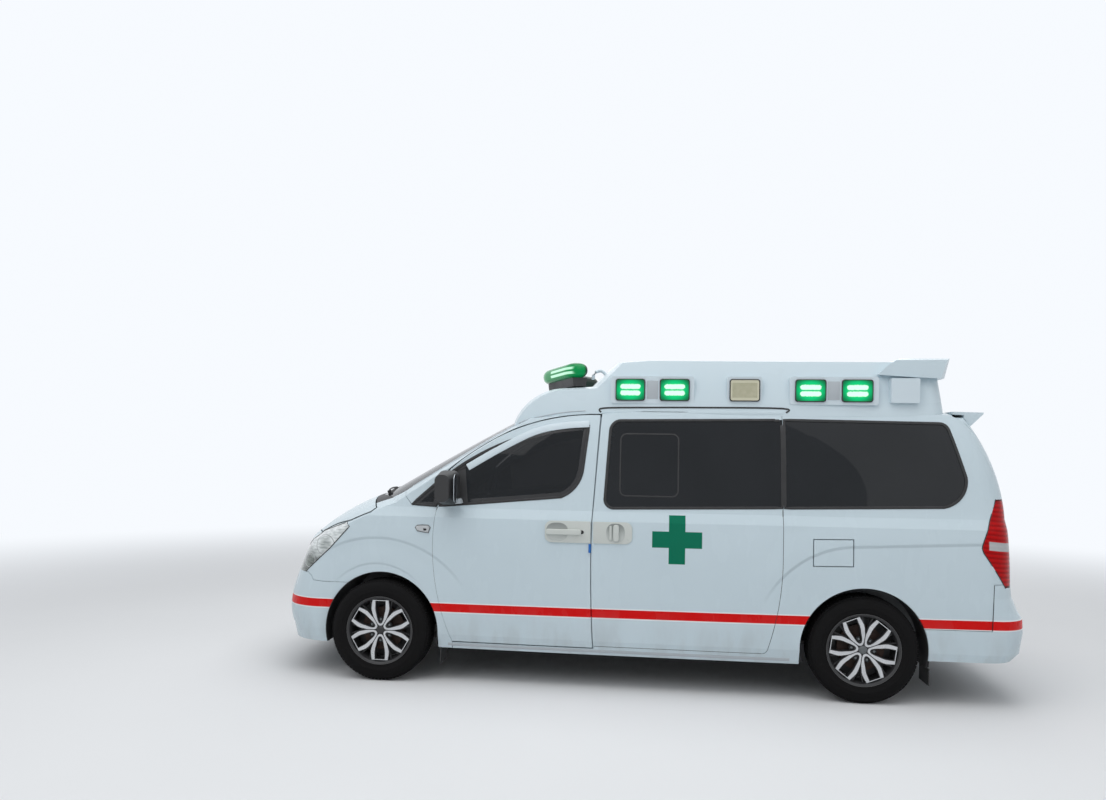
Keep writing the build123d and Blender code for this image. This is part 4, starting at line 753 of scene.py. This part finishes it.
def treadBlocks(look, base):
    # One block of each row, its low face sunk in the tyre and its top a little smaller
    verts, faces = [], []
    for middle, wide, skew in look["rows"]:
        reach = math.pi * look["radius"] / look["tread"] * look["blockPart"]
        drop = 0.0032 if abs(middle) > 0.05 else 0.0
        faces += boxFaces(len(verts))
        for low in (True, False):
            level, edge = (base - 0.004, 0.0) if low else (look["radius"], 0.0010)
            for sx, sy in ((-1, -1), (1, -1), (1, 1), (-1, 1)):
                across = middle + sy * (wide / 2 - edge)
                fall = drop if low else drop * (abs(across) > 0.072)
                sag = (sx * reach) ** 2 / 2 / look["radius"]
                verts.append((sx * (reach - edge) + sy * skew, across, level - fall - sag))
    return verts, faces


def makeWheel(end, sideName, centre, side, turn):
    look, petals = wheelLook, wheelLook["petals"]
    body, tag = f"wheel_{end}_{sideName}", f"{end}_{sideName}"
    angle = math.radians(turn) * side
    base = look["radius"] - look["treadDepth"]

    def turned(label, profile, material, steps, slot="alloy", smooth=30.0):
        return lathe(f"{label}_{tag}", profile, centre, side, material, body, slot, steps, smooth)

    def ringOf(label, shape, material, smooth=30.0, shift=0.0):
        piece = addPiece(f"{label}_{tag}", turnedRight(shape[0], side), shape[1], material, body, "alloy",
                         smooth)
        return repeated(piece, petals, centre, angle + shift)

    half = [(0.0, base), (0.020, base), (0.060, base - 0.0005), (0.078, base - 0.003), (0.090, base - 0.009)]
    half += look["wall"]
    profile = half + [(-out, rad) for out, rad in half[::-1]]
    tyre = turned("tyre_body", profile, tyreRubber, 96, "tyre_rubber", 40)
    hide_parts(f"tyre_{end}_{sideName}")
    tread = addPiece(f"tread_{tag}", *treadBlocks(look, base), tyreRubber, body, "tyre_rubber")
    repeated(tread, look["tread"], centre)
    rim = turned("rim", look["barrel"], darkAlloy, 96)
    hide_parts(f"wheel_{end}_{sideName}")
    turned("rim_edge", look["lip"], castIron, 96)
    # Petals: a black band under a machined face, and web bars between them out to the rim
    ringOf("spokes", petalBand(0.0045, look["face"] - 0.004, 0.030, 0.004), darkAlloy, 25)
    ringOf("spoke_faces", petalBand(0.0, look["face"], 0.006, 0.004), brushedSilver, 25)
    verts = [(sway * off + dx, -(look["face"] - 0.016 - dy), rad) for sway in (-1, 1)
             for rad, off in ((0.118, 0.0), (0.212, 0.034))
             for dx, dy in ((-0.004, 0.0), (0.004, 0.0), (0.004, 0.020), (-0.004, 0.020))]
    ringOf("webs", (verts, boxFaces(0) + boxFaces(8)), darkAlloy, shift=math.pi / petals)
    # Domed lug nuts in dark pockets
    for label, material, profile in (("lug_pockets", darkAlloy, look["pocket"]),
                                     ("lug_nuts", greyTrim, look["nut"])):
        verts = [(rad * c, -out, look["nutRadius"] + rad * d) for out, rad in profile for c, d in turns(12)]
        ringOf(label, (verts, hoopFaces(12, len(profile))), material, 40)
    turned("hub", look["hub"], darkAlloy, 48)
    turned("hub_cap", look["cap"], greyTrim if end == "rear" else darkAlloy, 48)
    turned("dust_shield", look["shield"], darkAlloy, 64)
    turned("brake_disc", look["disc"], rust, 64)


for end, axle, track, turn in (("front", frontAxle, 1.685, 0.0), ("rear", rearAxle, 1.660, 22.0)):
    for side, sideName in bothSides:
        makeWheel(end, sideName, (axle, side * track / 2, axleHeight), side, turn)
print("wheels and tyres done")

# Window seals and side trim, in millimetres behind the front axle and above the ground
windowLines = {
    "front": closedLine([(398, 1206), (1234, 1284)], arc((1234, 1284), (1340, 1370), (1378, 1480)),
                        [(1378, 1480), (1410, 1768)], arc((1410, 1768), (905, 1672), (461, 1430), 16),
                        [(461, 1430), (398, 1206)]),
    "sliding": closedLine(arc((1556, 1740), (1577, 1785), (1620, 1806), 8), [(1620, 1806), (2684, 1819)],
                          [(2684, 1819), (2684, 1244)], [(2684, 1244), (1586, 1218)],
                          arc((1586, 1218), (1543, 1238), (1530, 1290), 8), [(1530, 1290), (1556, 1740)]),
    "rear": closedLine([(2700, 1820), (3690, 1808)], arc((3690, 1808), (3725, 1795), (3745, 1762), 6),
                       [(3745, 1762), (3832, 1460)], arc((3832, 1460), (3805, 1345), (3690, 1268), 10),
                       [(3690, 1268), (2700, 1243)], [(2700, 1243), (2700, 1820)]),
    "quarter": [(205, 1215), (372, 1206), (432, 1420)],
}
frontDoors = ("front_door_left", "front_door_right")
for label, body in (("front", frontDoors), ("sliding", "body"), ("rear", "body"), ("quarter", "body")):
    line = divided(windowLines[label], 45, True)
    ribbon(f"window_seal_{label}", onSide(line, probes=besideLine(line, 9)), 0.018, 0.0036, rubber, body,
           "black_plastic", closed=True, sink=0.004)
# Black band baked round the edge of the front panes
for label, body in (("front", frontDoors), ("quarter", "body")):
    band = divided(besideLine(windowLines[label], -15), 45, True)
    ribbon(f"window_band_{label}", onSide(band), 0.032, 0.0007, glossBlack, body, "black_plastic",
           closed=True, sink=0.0012)
roofSkin = surfaceOf("body_side_left", "front_door_left", "sliding_door_left", "fixed_side_glass",
                     "windscreen", "roof_cap", "fender_left")
lampSkin = surfaceOf("headlamps", "fender_left", "front_bumper", "bonnet", "body_side_left", "tail_lamps",
                     "rear_bumper")
postSkin = surfaceOf("body_side_left", "front_door_left", "door_glass_left", "fender_left",
                     "fixed_side_glass")
pane = divided(rounded(384, 415, 40, middle=(1820, 1508)), 60, True)
visor = flowing([(585, 1472), (800, 1600), (1036, 1720), (1230, 1764), (1412, 1779)])
visorEdge = flowing([(449, 1430), (536, 1457), (745, 1583), (1027, 1706), (1260, 1749), (1404, 1757)])
dripLine = flowing([(170, 1330), (442, 1500), (685, 1648), (921, 1785), (1180, 1852), (1380, 1872)])
gasket = flowing([(1486, 1862), (1496, 1890), (1751, 1896), (2152, 1899), (2690, 1897), (2716, 1868)])
repeater = [(240, 1058), (253, 1070), (290, 1073), (329, 1072), (342, 1060), (330, 1024), (296, 1029),
            (253, 1037)]
headlampEdge = [(-585, 715), (-381, 894), (-236, 1050), (-268, 1076), (-469, 1005), (-700, 830)]
tailLampEdge = [(4064, 766), (3916, 990), (3907, 1020), (3914, 1048), (4012, 1324)]
# Strips: name, line, skin, width, height, sink, material, body, slot, closed
for name, line, skin, width, height, sink, material, body, slot, closed in (
        ("slider_frame", pane, sideSkin, 0.010, 0.0018, 0.003, rubber, "body", "black_plastic", True),
        ("window_corner", divided([(2636, 1814), (2688, 1817), (2690, 1780)], 18), sideSkin, 0.017, 0.0045,
         0.004, rubber, "body", "black_plastic", False),
        ("rain_visor", visor, sideSkin, 0.046, 0.0075, 0.003, whitePlastic, frontDoors, "white_plastic",
         False),
        ("visor_edge", visorEdge, sideSkin, 0.014, 0.0060, 0.003, rubber, frontDoors, "black_plastic", False),
        ("drip_rail", dripLine, roofSkin, 0.006, 0.0030, 0.003, greyPad, "body", "white_plastic", False),
        ("roof_gasket", gasket, roofSkin, 0.011, 0.0030, 0.004, rubber, "body", "black_plastic", False),
        ("door_top_strip", divided([(1498, 1869), (2700, 1869)], 60), roofSkin, 0.022, 0.0024, 0.003,
         plainPaint, "body", "paint", False),
        ("sill_strip", divided([(470, 262), (2740, 262)], 80), sideSkin, 0.020, 0.0030, 0.002, greyPad,
         "body", "white_plastic", False),
        ("edge_guard", divided([(1437, 923), (1437, 979)], 10), sideSkin, 0.016, 0.010, 0.002, blueFoam,
         frontDoors, "white_plastic", False),
        ("repeater_edge", besideLine(repeater, 2), sideSkin, 0.006, 0.0040, 0.003, greyTrim, "body",
         "black_plastic", True),
        ("headlamp_edge", divided(headlampEdge, 20), lampSkin, 0.007, 0.0022, 0.003, glossBlack, "body",
         "black_plastic", False),
        ("tail_lamp_edge", divided(tailLampEdge, 20), lampSkin, 0.006, 0.0022, 0.003, glossBlack, "body",
         "black_plastic", False),
        ("window_post", divided([(386, 1214), (452, 1424)], 30), postSkin, 0.027, 0.0026, 0.004, rubber,
         frontDoors, "black_plastic", False)):
    ribbon(name, onSide(line, skin), width, height, material, body, slot, closed, sink)
patch("side_repeater", repeater, 0.007, clearLens, "lamp_clear", dome=0.003)
patch("repeater_lens", [(296, 1054), (318, 1052), (322, 1043), (312, 1036), (298, 1038)], 0.0105, glossBlack,
      "black_plastic")

# Handles on their plates, in millimetres along the side and metres out from the middle
handleLook = {
    "level": 1056.5, "tall": 143, "back": 0.930, "face": 0.9645, "edge": 0.0016, "gripBack": 0.960,
    # Finger dish: a bowl with a raised lip, coloured in painted shade, as (scale, distance outward)
    "dish": ((1.06, 0.9640), (1.03, 0.9662), (0.97, 0.9662), (0.92, 0.9650), (0.70, 0.9648), (0.0, 0.9647)),
    "keyRing": [(0.9600, 0.0125), (0.9665, 0.0125), (0.9675, 0.0105), (0.9665, 0.0065), (0.9655, 0.0005),
                (0.9600, 0.0005)]}


def endedPlate(first, last, roundEnd, radius=44, tight=5, steps=8):
    # A plate with one end rounded and the other square
    made = []
    for cx, cz, start in ((1, 1, 0), (-1, 1, 90), (-1, -1, 180), (1, -1, 270)):
        r = radius if cx == roundEnd else tight
        x0, z0 = last - r if cx > 0 else first + r, handleLook["level"] + cz * (handleLook["tall"] / 2 - r)
        for i in range(steps + 1):
            angle = math.radians(start + 90 * i / steps)
            made.append(mm(x0 + r * math.cos(angle), z0 + r * math.sin(angle)))
    return made


for side, tag in bothSides:
    look, rider, put = handleLook, f"front_door_{tag}", outwards(side)
    plate = slab(f"handle_plate_{tag}", endedPlate(1136, 1440, -1), look["back"], look["face"], put,
                 creamPaint, rider, look["edge"])
    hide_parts(f"door_handle_{tag}")
    slide = slab(f"slider_plate_{tag}", endedPlate(1458, 1716, 1), look["back"], look["face"], put,
                 creamPaint, "body", look["edge"])
    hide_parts("sliding_door_handles")
    for label, middle, half, body in (("handle", (1218, 1057), (70, 58), rider),
                                      ("slider", (1606, 1057), (58, 60), "body")):
        verts = []
        for scale, depth in look["dish"]:
            for c, d in turns(32):
                px, pz = mm(middle[0] + half[0] * scale * bowed(c, 0.8),
                            middle[1] + half[1] * scale * bowed(d, 0.8))
                verts.append((px, side * depth, pz))
        addPiece(f"{label}_dish_{tag}", verts, hoopFaces(32, len(look["dish"]), caps=1), dishShade, body,
                 "paint")
    for label, middle, size, face, bevel, steps, body in (
            ("handle_grip", mm(1262, 1057), (0.236, 0.036, 0.0165), 0.9850, 0.007, 3, rider),
            ("slider_grip", mm(1610, 1057), (0.038, 0.110, 0.017), 0.9850, 0.007, 3, "body"),
            ("slider_lever", mm(1574, 1057), (0.016, 0.096, 0.007), 0.9740, 0.003, 2, "body")):
        slab(f"{label}_{tag}", rounded(*size, middle=middle), look["gripBack"], face, put, creamPaint, body,
             bevel, steps)
    kx, kz = mm(1384, 1057)
    lathe(f"keyhole_{tag}", look["keyRing"], (kx, 0.0, kz), side, glossBlack, rider, "black_plastic", 24)

# Dark seals in the gaps round the doors, bumper and bonnet
sealLook = {"width": 0.0056, "height": -0.0006, "sink": 0.007, "aside": 7, "inward": 0.006}
seams = {"front_door": arc((500, 300), (362, 900), (384, 1200), 18),
         "sliding_door": arc((2602, 340), (2672, 680), (2685, 930), 12) + [(2686, 1236)],
         "sliding_sill": [(1472, 297), (2560, 297)], "rear_bumper": [(3982, 500), (3985, 786)]}
paths = {}
for label, line in seams.items():
    line = divided(line, 60)
    across = 0 if label == "sliding_sill" else sealLook["aside"]
    paths[label] = onSide(line, probes=[(x + across, z + sealLook["aside"] - across) for x, z in line])
noseSkin = surfaceOf("bonnet", "fender_left", "front_bumper")
paths["bonnet"] = []
for x, y in divided([(-66, 866), (-92, 894), (-236, 876), (-268, 860), (-370, 795), (-490, 745)], 40):
    above = Vector((frontAxle + x / 1000, sealLook["inward"] - y / 1000, 2.0))
    place, normal, index, far = noseSkin.ray_cast(above, Vector((0, 0, -1)))
    fall = sealLook["inward"] * normal.y / normal.z
    paths["bonnet"].append((place - Vector((0, sealLook["inward"], fall)), normal))
for label, path in paths.items():
    ribbon(f"{label}_seal", path, sealLook["width"], sealLook["height"], rubber, "body", "black_plastic",
           sink=sealLook["sink"])

# Pads between the roof lamps, and the lamps' bezels
for label, first, last in (("front", 1797, 1870), ("rear", 2984, 3061)):
    corners = [mm(first, 1955), mm(last, 1955), mm(last, 2079), mm(first, 2079)]
    for side, tag in bothSides:
        slab(f"lamp_pad_{label}_{tag}", corners, 0.776, 0.7795, outwards(side), greyPad, "body",
             0.001)
print("side trim done")

lampLook = {"places": (1684, 1982, 2446, 2873, 3172), "level": 2017, "wide": 0.200, "tall": 0.150,
            "rim": 0.013,
            "back": 0.776, "shoulder": 0.7875, "face": 0.7900}
for number, place in enumerate(lampLook["places"]):
    look, middle = lampLook, mm(place, lampLook["level"])
    outer = rounded(look["wide"], look["tall"], 0.018, middle=middle)
    inner = rounded(look["wide"] - look["rim"], look["tall"] - look["rim"], 0.014, middle=middle)
    edge = [(middle[0] + (u - middle[0]) * 0.975, middle[1] + (v - middle[1]) * 0.97) for u, v in outer]
    rings = ((outer, look["back"]), (outer, look["shoulder"]), (edge, look["face"]), (inner, look["face"]),
             (inner, look["back"]))
    for side, tag in bothSides:
        verts = [(u, side * depth, v) for ring, depth in rings for u, v in ring]
        addPiece(f"lamp_bezel_{number}_{tag}", verts, hoopFaces(len(outer), len(rings), True), glossBlack,
                 "body", "black_plastic")
print("roof lamps done")

# Mirror glasses and feet
mirrorLook = {"x": 543.5, "z": 1335, "out": 1.040, "glass": (0.118, 0.186, 0.035),
              "foot": ((470, 1222), (566, 1230), (556, 1262), (486, 1262))}
px, pz = mm(mirrorLook["x"], mirrorLook["z"])
for side, tag in bothSides:
    slab(f"mirror_face_{tag}", rounded(*mirrorLook["glass"]), 0.0, 0.003,
         lambda u, v, d: (px + d, side * (mirrorLook["out"] + u), pz + v), mirrorGlass, f"front_door_{tag}",
         0.001)
    slab(f"mirror_foot_{tag}", [mm(x, z) for x, z in mirrorLook["foot"]], 0.905, 0.985, outwards(side),
         greyPad, f"front_door_{tag}", 0.004)

# Roof light bar: one rounded lens bent into a V, on its black foot, with a conduit behind it
barLook = {"middle": -0.645, "sweep": 0.4754, "blunt": 0.04, "level": 2.172, "half": (0.079, 0.0585),
           "end": 0.607,
           "taper": 0.50, "around": 28, "footEnd": 0.555, "footBack": 0.012,
           "foot": ((-0.044, 2.058), (0.044, 2.058), (0.052, 2.120), (-0.052, 2.120)),
           "conduit": ((1392, 2130), (1396, 2160), (1414, 2186), (1440, 2194), (1458, 2193), (1480, 2175),
                       (1489, 2156), (1490, 2120))}


def barMiddle(y):
    return barLook["middle"] + barLook["sweep"] * (math.hypot(y, barLook["blunt"]) - barLook["blunt"])


verts = []
stations = [barLook["end"] * math.sin(math.radians(angle)) for angle in range(-90, 91, 5)]
for y in stations:
    over = max(0.0, abs(y) - barLook["taper"]) / (barLook["end"] - barLook["taper"])
    wide, tall = (half * max(math.sqrt(max(1 - over * over, 0.0)), 0.04) for half in barLook["half"])
    verts += [(barMiddle(y) + wide * bowed(c, 0.85), y, barLook["level"] + tall * bowed(d, 0.85))
              for c, d in turns(barLook["around"])]
barPiece = addPiece("light_bar_shell", verts, hoopFaces(barLook["around"], len(stations)), barLens, "body",
                    "lamp_green", 60)
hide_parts("light_bar_lens")
feet = [barLook["footEnd"] * (i / 12 - 1) for i in range(25)]
verts = [(barMiddle(y) + barLook["footBack"] + half, y, z) for y in feet for half, z in barLook["foot"]]
foot = addPiece("light_bar_foot", verts, hoopFaces(4, len(feet)), blackPlastic, "body", "black_plastic")
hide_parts("light_bar_base")
conduit = [mm(x, z) for x, z in barLook["conduit"]]
tube("bar_conduit", [(x, -0.30, z) for x, z in conduit], 0.0125, whitePlastic, "body", "white_plastic")

# Wipers: name, number, pivot and tip, steps, skin, facing, body, then the arm's points, bow and width,
# and the pivot's top and radius
screenSkin, gateSkin = surfaceOf("windscreen", "cowl_panel"), surfaceOf("tailgate_glass", "tailgate")
for name, number, pivot, tip, parts, skin, facing, body, reach, bow, wide, top, radius in (
        ("wiper", "_0", (-0.50, 1.262), (0.06, 1.300), 14, screenSkin, -1, "body", 9, 0.010, 0.016, 0.026,
         0.014),
        ("wiper", "_1", (0.10, 1.262), (0.62, 1.315), 14, screenSkin, -1, "body", 9, 0.010, 0.016, 0.026,
         0.014),
        ("rear_wiper", "", (-0.02, 1.275), (0.44, 1.287), 12, gateSkin, 1, "tailgate", 8, 0.0, 0.018, 0.028,
         0.017)):
    line = onFace([(pivot[0] + (tip[0] - pivot[0]) * i / parts, pivot[1] + (tip[1] - pivot[1]) * i / parts)
                   for i in range(parts + 1)], skin, facing)
    ribbon(f"{name}_blade{number}", line, 0.010, 0.012, rubber, body, "black_plastic", single=True,
           sink=0.001)
    arm = [(place + normal * (0.012 + bow * math.sin(math.pi * i / 8)), normal)
           for i, (place, normal) in enumerate(line[:reach])]
    ribbon(f"{name}_arm{number}", arm, wide, 0.007, blackPlastic, body, "black_plastic", single=True)
    hub, lift = line[0]
    tube(f"{name}_pivot{number}", [hub - lift * 0.004, hub + lift * top], radius, blackPlastic, body,
         "black_plastic", 20)

# Blank number plates on their brackets, and the tailgate's grip bar and lock
plateLook = {"size": (0.52, 0.110, 0.010), "bracket": (0.545, 0.135, 0.012), "bolt": 0.007}
for label, x, z, facing, rider in (("front", -2.5662, 0.580, -1, "body"),
                                   ("rear", 2.4790, 0.800, 1, "tailgate")):
    def onPlate(u, v, depth):
        return x + facing * depth, u, z + v
    slab(f"{label}_plate_bracket", rounded(*plateLook["bracket"]), -0.036, 0.0, onPlate, blackPlastic, rider,
         0.002)
    slab(f"{label}_number_plate", rounded(*plateLook["size"]), 0.0, 0.0030, onPlate, plateWhite, rider,
         0.0008)
    for side, tag in bothSides:
        tube(f"{label}_plate_bolt_{tag}", [onPlate(side * 0.18, 0.030, depth) for depth in (0.001, 0.0055)],
             plateLook["bolt"], greyTrim, rider, "alloy", 12)
for name, level, size, face, material, slot, bevel, steps in (
        ("tailgate_grip", 0.918, (0.62, 0.058, 0.026), 2.4935, glossBlack, "black_plastic", 0.008, 3),
        ("tailgate_lock", 1.010, (0.024, 0.024, 0.0119), 2.4805, greyTrim, "alloy", 0.002, 2)):
    slab(name, rounded(*size, middle=(0, level)), 2.455, face, lambda u, v, d: (d, u, v), material,
         "tailgate", bevel, steps)
print("plates and wipers done")


# Padded seats and bench
def cushion(name, middle, axes, half, node, channels=(), crown=0.30):
    # A crowned closed pad: sides pulled in between the corners, a welt around it and sewn channels across it
    u, v, w = (Vector(axis).normalized() for axis in axes)
    rings, around = [1 - (1 - i / 26) ** 1.7 for i in range(1, 27)], 84
    plan = []
    for k in range(around):
        angle = 2 * math.pi * k / around
        pull = 1 - 0.035 * (1 - abs(math.sin(2 * angle)))
        plan.append((half[0] * bowed(math.cos(angle), 0.42) * pull,
                     half[1] * bowed(math.sin(angle), 0.42) * pull))

    def spot(a, b, h):
        return Vector(middle) + u * a + v * b + w * h

    verts, faces = [], []
    for face in (1, -1):
        start = len(verts)
        verts.append(spot(0, 0, face * half[2]))
        for ring in rings[:-1] if face < 0 else rings:
            for a, b in plan:
                a, b = a * ring, b * ring
                tall = -half[2] * (1 - ring ** 12) ** 0.5
                if face > 0:
                    sewn = sum(0.011 * math.exp(-((a - line) / 0.008) ** 2)
                               for line in channels) * (1 - ring ** 8)
                    tall = half[2] * (1 - crown * ring * ring) * (1 - ring ** 9) ** 0.5 - sewn
                verts.append(spot(a, b, tall))
        faces += [(start, start + 1 + k, start + 1 + (k + 1) % around) for k in range(around)]
        faces += hoopFaces(around, len(rings) - (face < 0), start=start + 1, caps=0)
    rim, lower = 1 + (len(rings) - 1) * around, len(verts) - around
    faces += [(rim + k, rim + (k + 1) % around, lower + (k + 1) % around, lower + k) for k in range(around)]
    pad = addPiece(name, verts, faces, seatCloth, "body", "seat_fabric", 60)
    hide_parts(node)
    welt = []
    for a, b in plan:
        out = (u * a + v * b).normalized()
        welt += [spot(a, b, 0) + (out * c + w * d) * 0.004 for c, d in turns(6)]
    addPiece(f"{name}_welt", welt, hoopFaces(6, around, True), weltCloth, "body", "seat_fabric", 60)


def asPlan(u, v, depth):
    return u, v, depth


seatPlace, bench = frontAxle + 1.120, frontAxle + 2.700
lean, ahead = Vector((0.150, 0, 0.590)).normalized(), Vector((-0.590, 0, 0.150)).normalized()
flat, upright = ((1, 0, 0), (0, 1, 0), (0, 0, 1)), (lean, (0, 1, 0), ahead)
for side, tag in bothSides:
    y = side * 0.400
    cushion(f"seat_cushion_{tag}", (seatPlace, y, 0.700), flat, (0.252, 0.242, 0.060), "front_seats",
            (-0.12, 0.0, 0.12))
    cushion(f"seat_back_{tag}", (frontAxle + 1.440, y, 1.012), upright, (0.296, 0.232, 0.048), "front_seats",
            (-0.16, -0.04, 0.08))
    cushion(f"headrest_{tag}", (frontAxle + 1.546, y, 1.408), upright, (0.090, 0.122, 0.032), "front_seats",
            (), 0.4)
    slab(f"seat_base_{tag}", rounded(0.416, 0.396, 0.03, middle=(seatPlace, y)), 0.441, 0.648, asPlan,
         greyPlastic, "body", 0.012)
    for post, end in ((-0.05, "inner"), (0.05, "outer")):
        foot = Vector((frontAxle + 1.512, y + post, 1.270))
        tube(f"headrest_post_{tag}_{end}", [foot, foot + lean * 0.085], 0.006, chrome, "body", "seat_fabric")
cushion("bench_cushion", (bench, 0.640, 0.812), flat, (0.442, 0.172, 0.046), "attendant_bench", (-0.15, 0.15))
cushion("bench_back", (bench, 0.788, 1.018), ((1, 0, 0), (0, -0.13, 1), (0, -1, -0.13)),
        (0.442, 0.150, 0.030),
        "attendant_bench", (-0.15, 0.15))
slab("bench_base", rounded(0.892, 0.212, 0.012, middle=(bench, 0.570)), 0.441, 0.768, asPlan, greyPlastic,
     "body", 0.006)
print("seats done")

# Wheel arch liners
for end, axle, inner, outer in (("front", frontAxle, 0.450, 0.455), ("rear", rearAxle, 0.700, 0.215)):
    liner = [(0.0, 0.3955), (outer, 0.3955), (outer, 0.3985), (0.0, 0.3985)]
    for side, tag in bothSides:
        lathe(f"arch_liner_{end}_{tag}", liner, (axle, side * inner, axleHeight), side, blackPlastic, "body",
              "black_plastic", 48, start=-14, sweep=208)
print("liners done")

# Floor, light and camera
stage = {"tone": (0.80, 0.81, 0.82), "worn": (0.77, 0.78, 0.79), "sky": (0.93, 0.96, 1.0), "size": 60.0,
         "fade": (4.5, 13.0), "skyStrength": (0.45, 1.0)}


def makeFloor():
    # Plain near the vehicle, running out into the backdrop's own tone where the camera or a gloss sees it
    made = Finish("floorTone", Emission_Strength=1.0, Specular_IOR_Level=0.0)
    camera = made.node("ShaderNodeLightPath", give="Is Camera Ray")
    glossy = made.node("ShaderNodeLightPath", give="Is Glossy Ray")
    far = made.ramp((made.x * made.x + made.y * made.y).root(), *stage["fade"]) * camera.most(glossy)
    tone = made.mix(made.noise(0.6, 4.0), stage["tone"], stage["worn"])
    made.set("Base_Color", made.mix(far, tone, (0.0, 0.0, 0.0)))
    made.set("Emission_Color", made.mix(far, (0.0, 0.0, 0.0), stage["sky"]))
    made.set("Roughness", 0.7)
    return made.material


floorMesh = bpy.data.meshes.new("studio_floor")
edge = stage["size"] / 2
floorMesh.from_pydata([(-edge, -edge, 0), (edge, -edge, 0), (edge, edge, 0), (-edge, edge, 0)], [],
                      [(0, 1, 2, 3)])
floor = bpy.data.objects.new("studio_floor", floorMesh)
bpy.context.scene.collection.objects.link(floor)
floorMesh.materials.append(makeFloor())

world = bpy.data.worlds.new("studio")
bpy.context.scene.world = world
world.use_nodes = True
newNode = world.node_tree.nodes.new
sky, rays = world.node_tree.nodes["Background"], newNode("ShaderNodeLightPath")
sky.inputs["Color"].default_value = (*stage["sky"], 1)
seen, mirrorSeen, level = newNode("ShaderNodeMath"), newNode("ShaderNodeMath"), newNode("ShaderNodeMapRange")
seen.operation = mirrorSeen.operation = "MAXIMUM"
level.inputs["To Min"].default_value, level.inputs["To Max"].default_value = stage["skyStrength"]
for source, give, target, take in (
        (rays, "Is Camera Ray", seen, 0), (rays, "Is Glossy Ray", mirrorSeen, 0),
        (rays, "Is Transmission Ray", mirrorSeen, 1), (mirrorSeen, 0, seen, 1), (seen, 0, level, "Value"),
        (level, 0, sky, "Strength")):
    world.node_tree.links.new(source.outputs[give], target.inputs[take])
for name, place, aim, size, power in (
        ("key", (-4.5, -7.0, 7.5), (0, 0, 0.9), 7.0, 200), ("fill", (5.5, -6.0, 5.0), (0, 0, 1.0), 6.0, 60),
        ("top", (0.0, -1.0, 8.0), (0, 0, 1.5), 8.0, 350), ("back", (1.0, 8.0, 6.0), (0, 0, 1.0), 7.0, 120)):
    lamp = bpy.data.lights.new(name, "AREA")
    lamp.energy, lamp.size, lamp.color = power, size, (1, 1, 1)
    made = bpy.data.objects.new(name, lamp)
    made.location = place
    made.rotation_euler = (Vector(aim) - Vector(place)).to_track_quat("-Z", "Y").to_euler()
    bpy.context.scene.collection.objects.link(made)

view = {"place": (0.145, -6.387, 1.568), "turn": 0.1223, "roll": 0.015, "lens": 26.74, "shift": 0.0494}
lens = bpy.data.cameras.new("photo_view")
lens.lens, lens.sensor_width, lens.shift_y = view["lens"], 36.0, view["shift"]
camera = bpy.data.objects.new("photo_view", lens)
camera.matrix_world = (Matrix.Translation(view["place"]) @ Matrix.Rotation(view["turn"], 4, "Z")
                       @ Matrix.Rotation(math.pi / 2, 4, "X") @ Matrix.Rotation(view["roll"], 4, "Z"))
bpy.context.scene.collection.objects.link(camera)
bpy.context.scene.camera = camera
bpy.context.scene.view_settings.view_transform = "Standard"
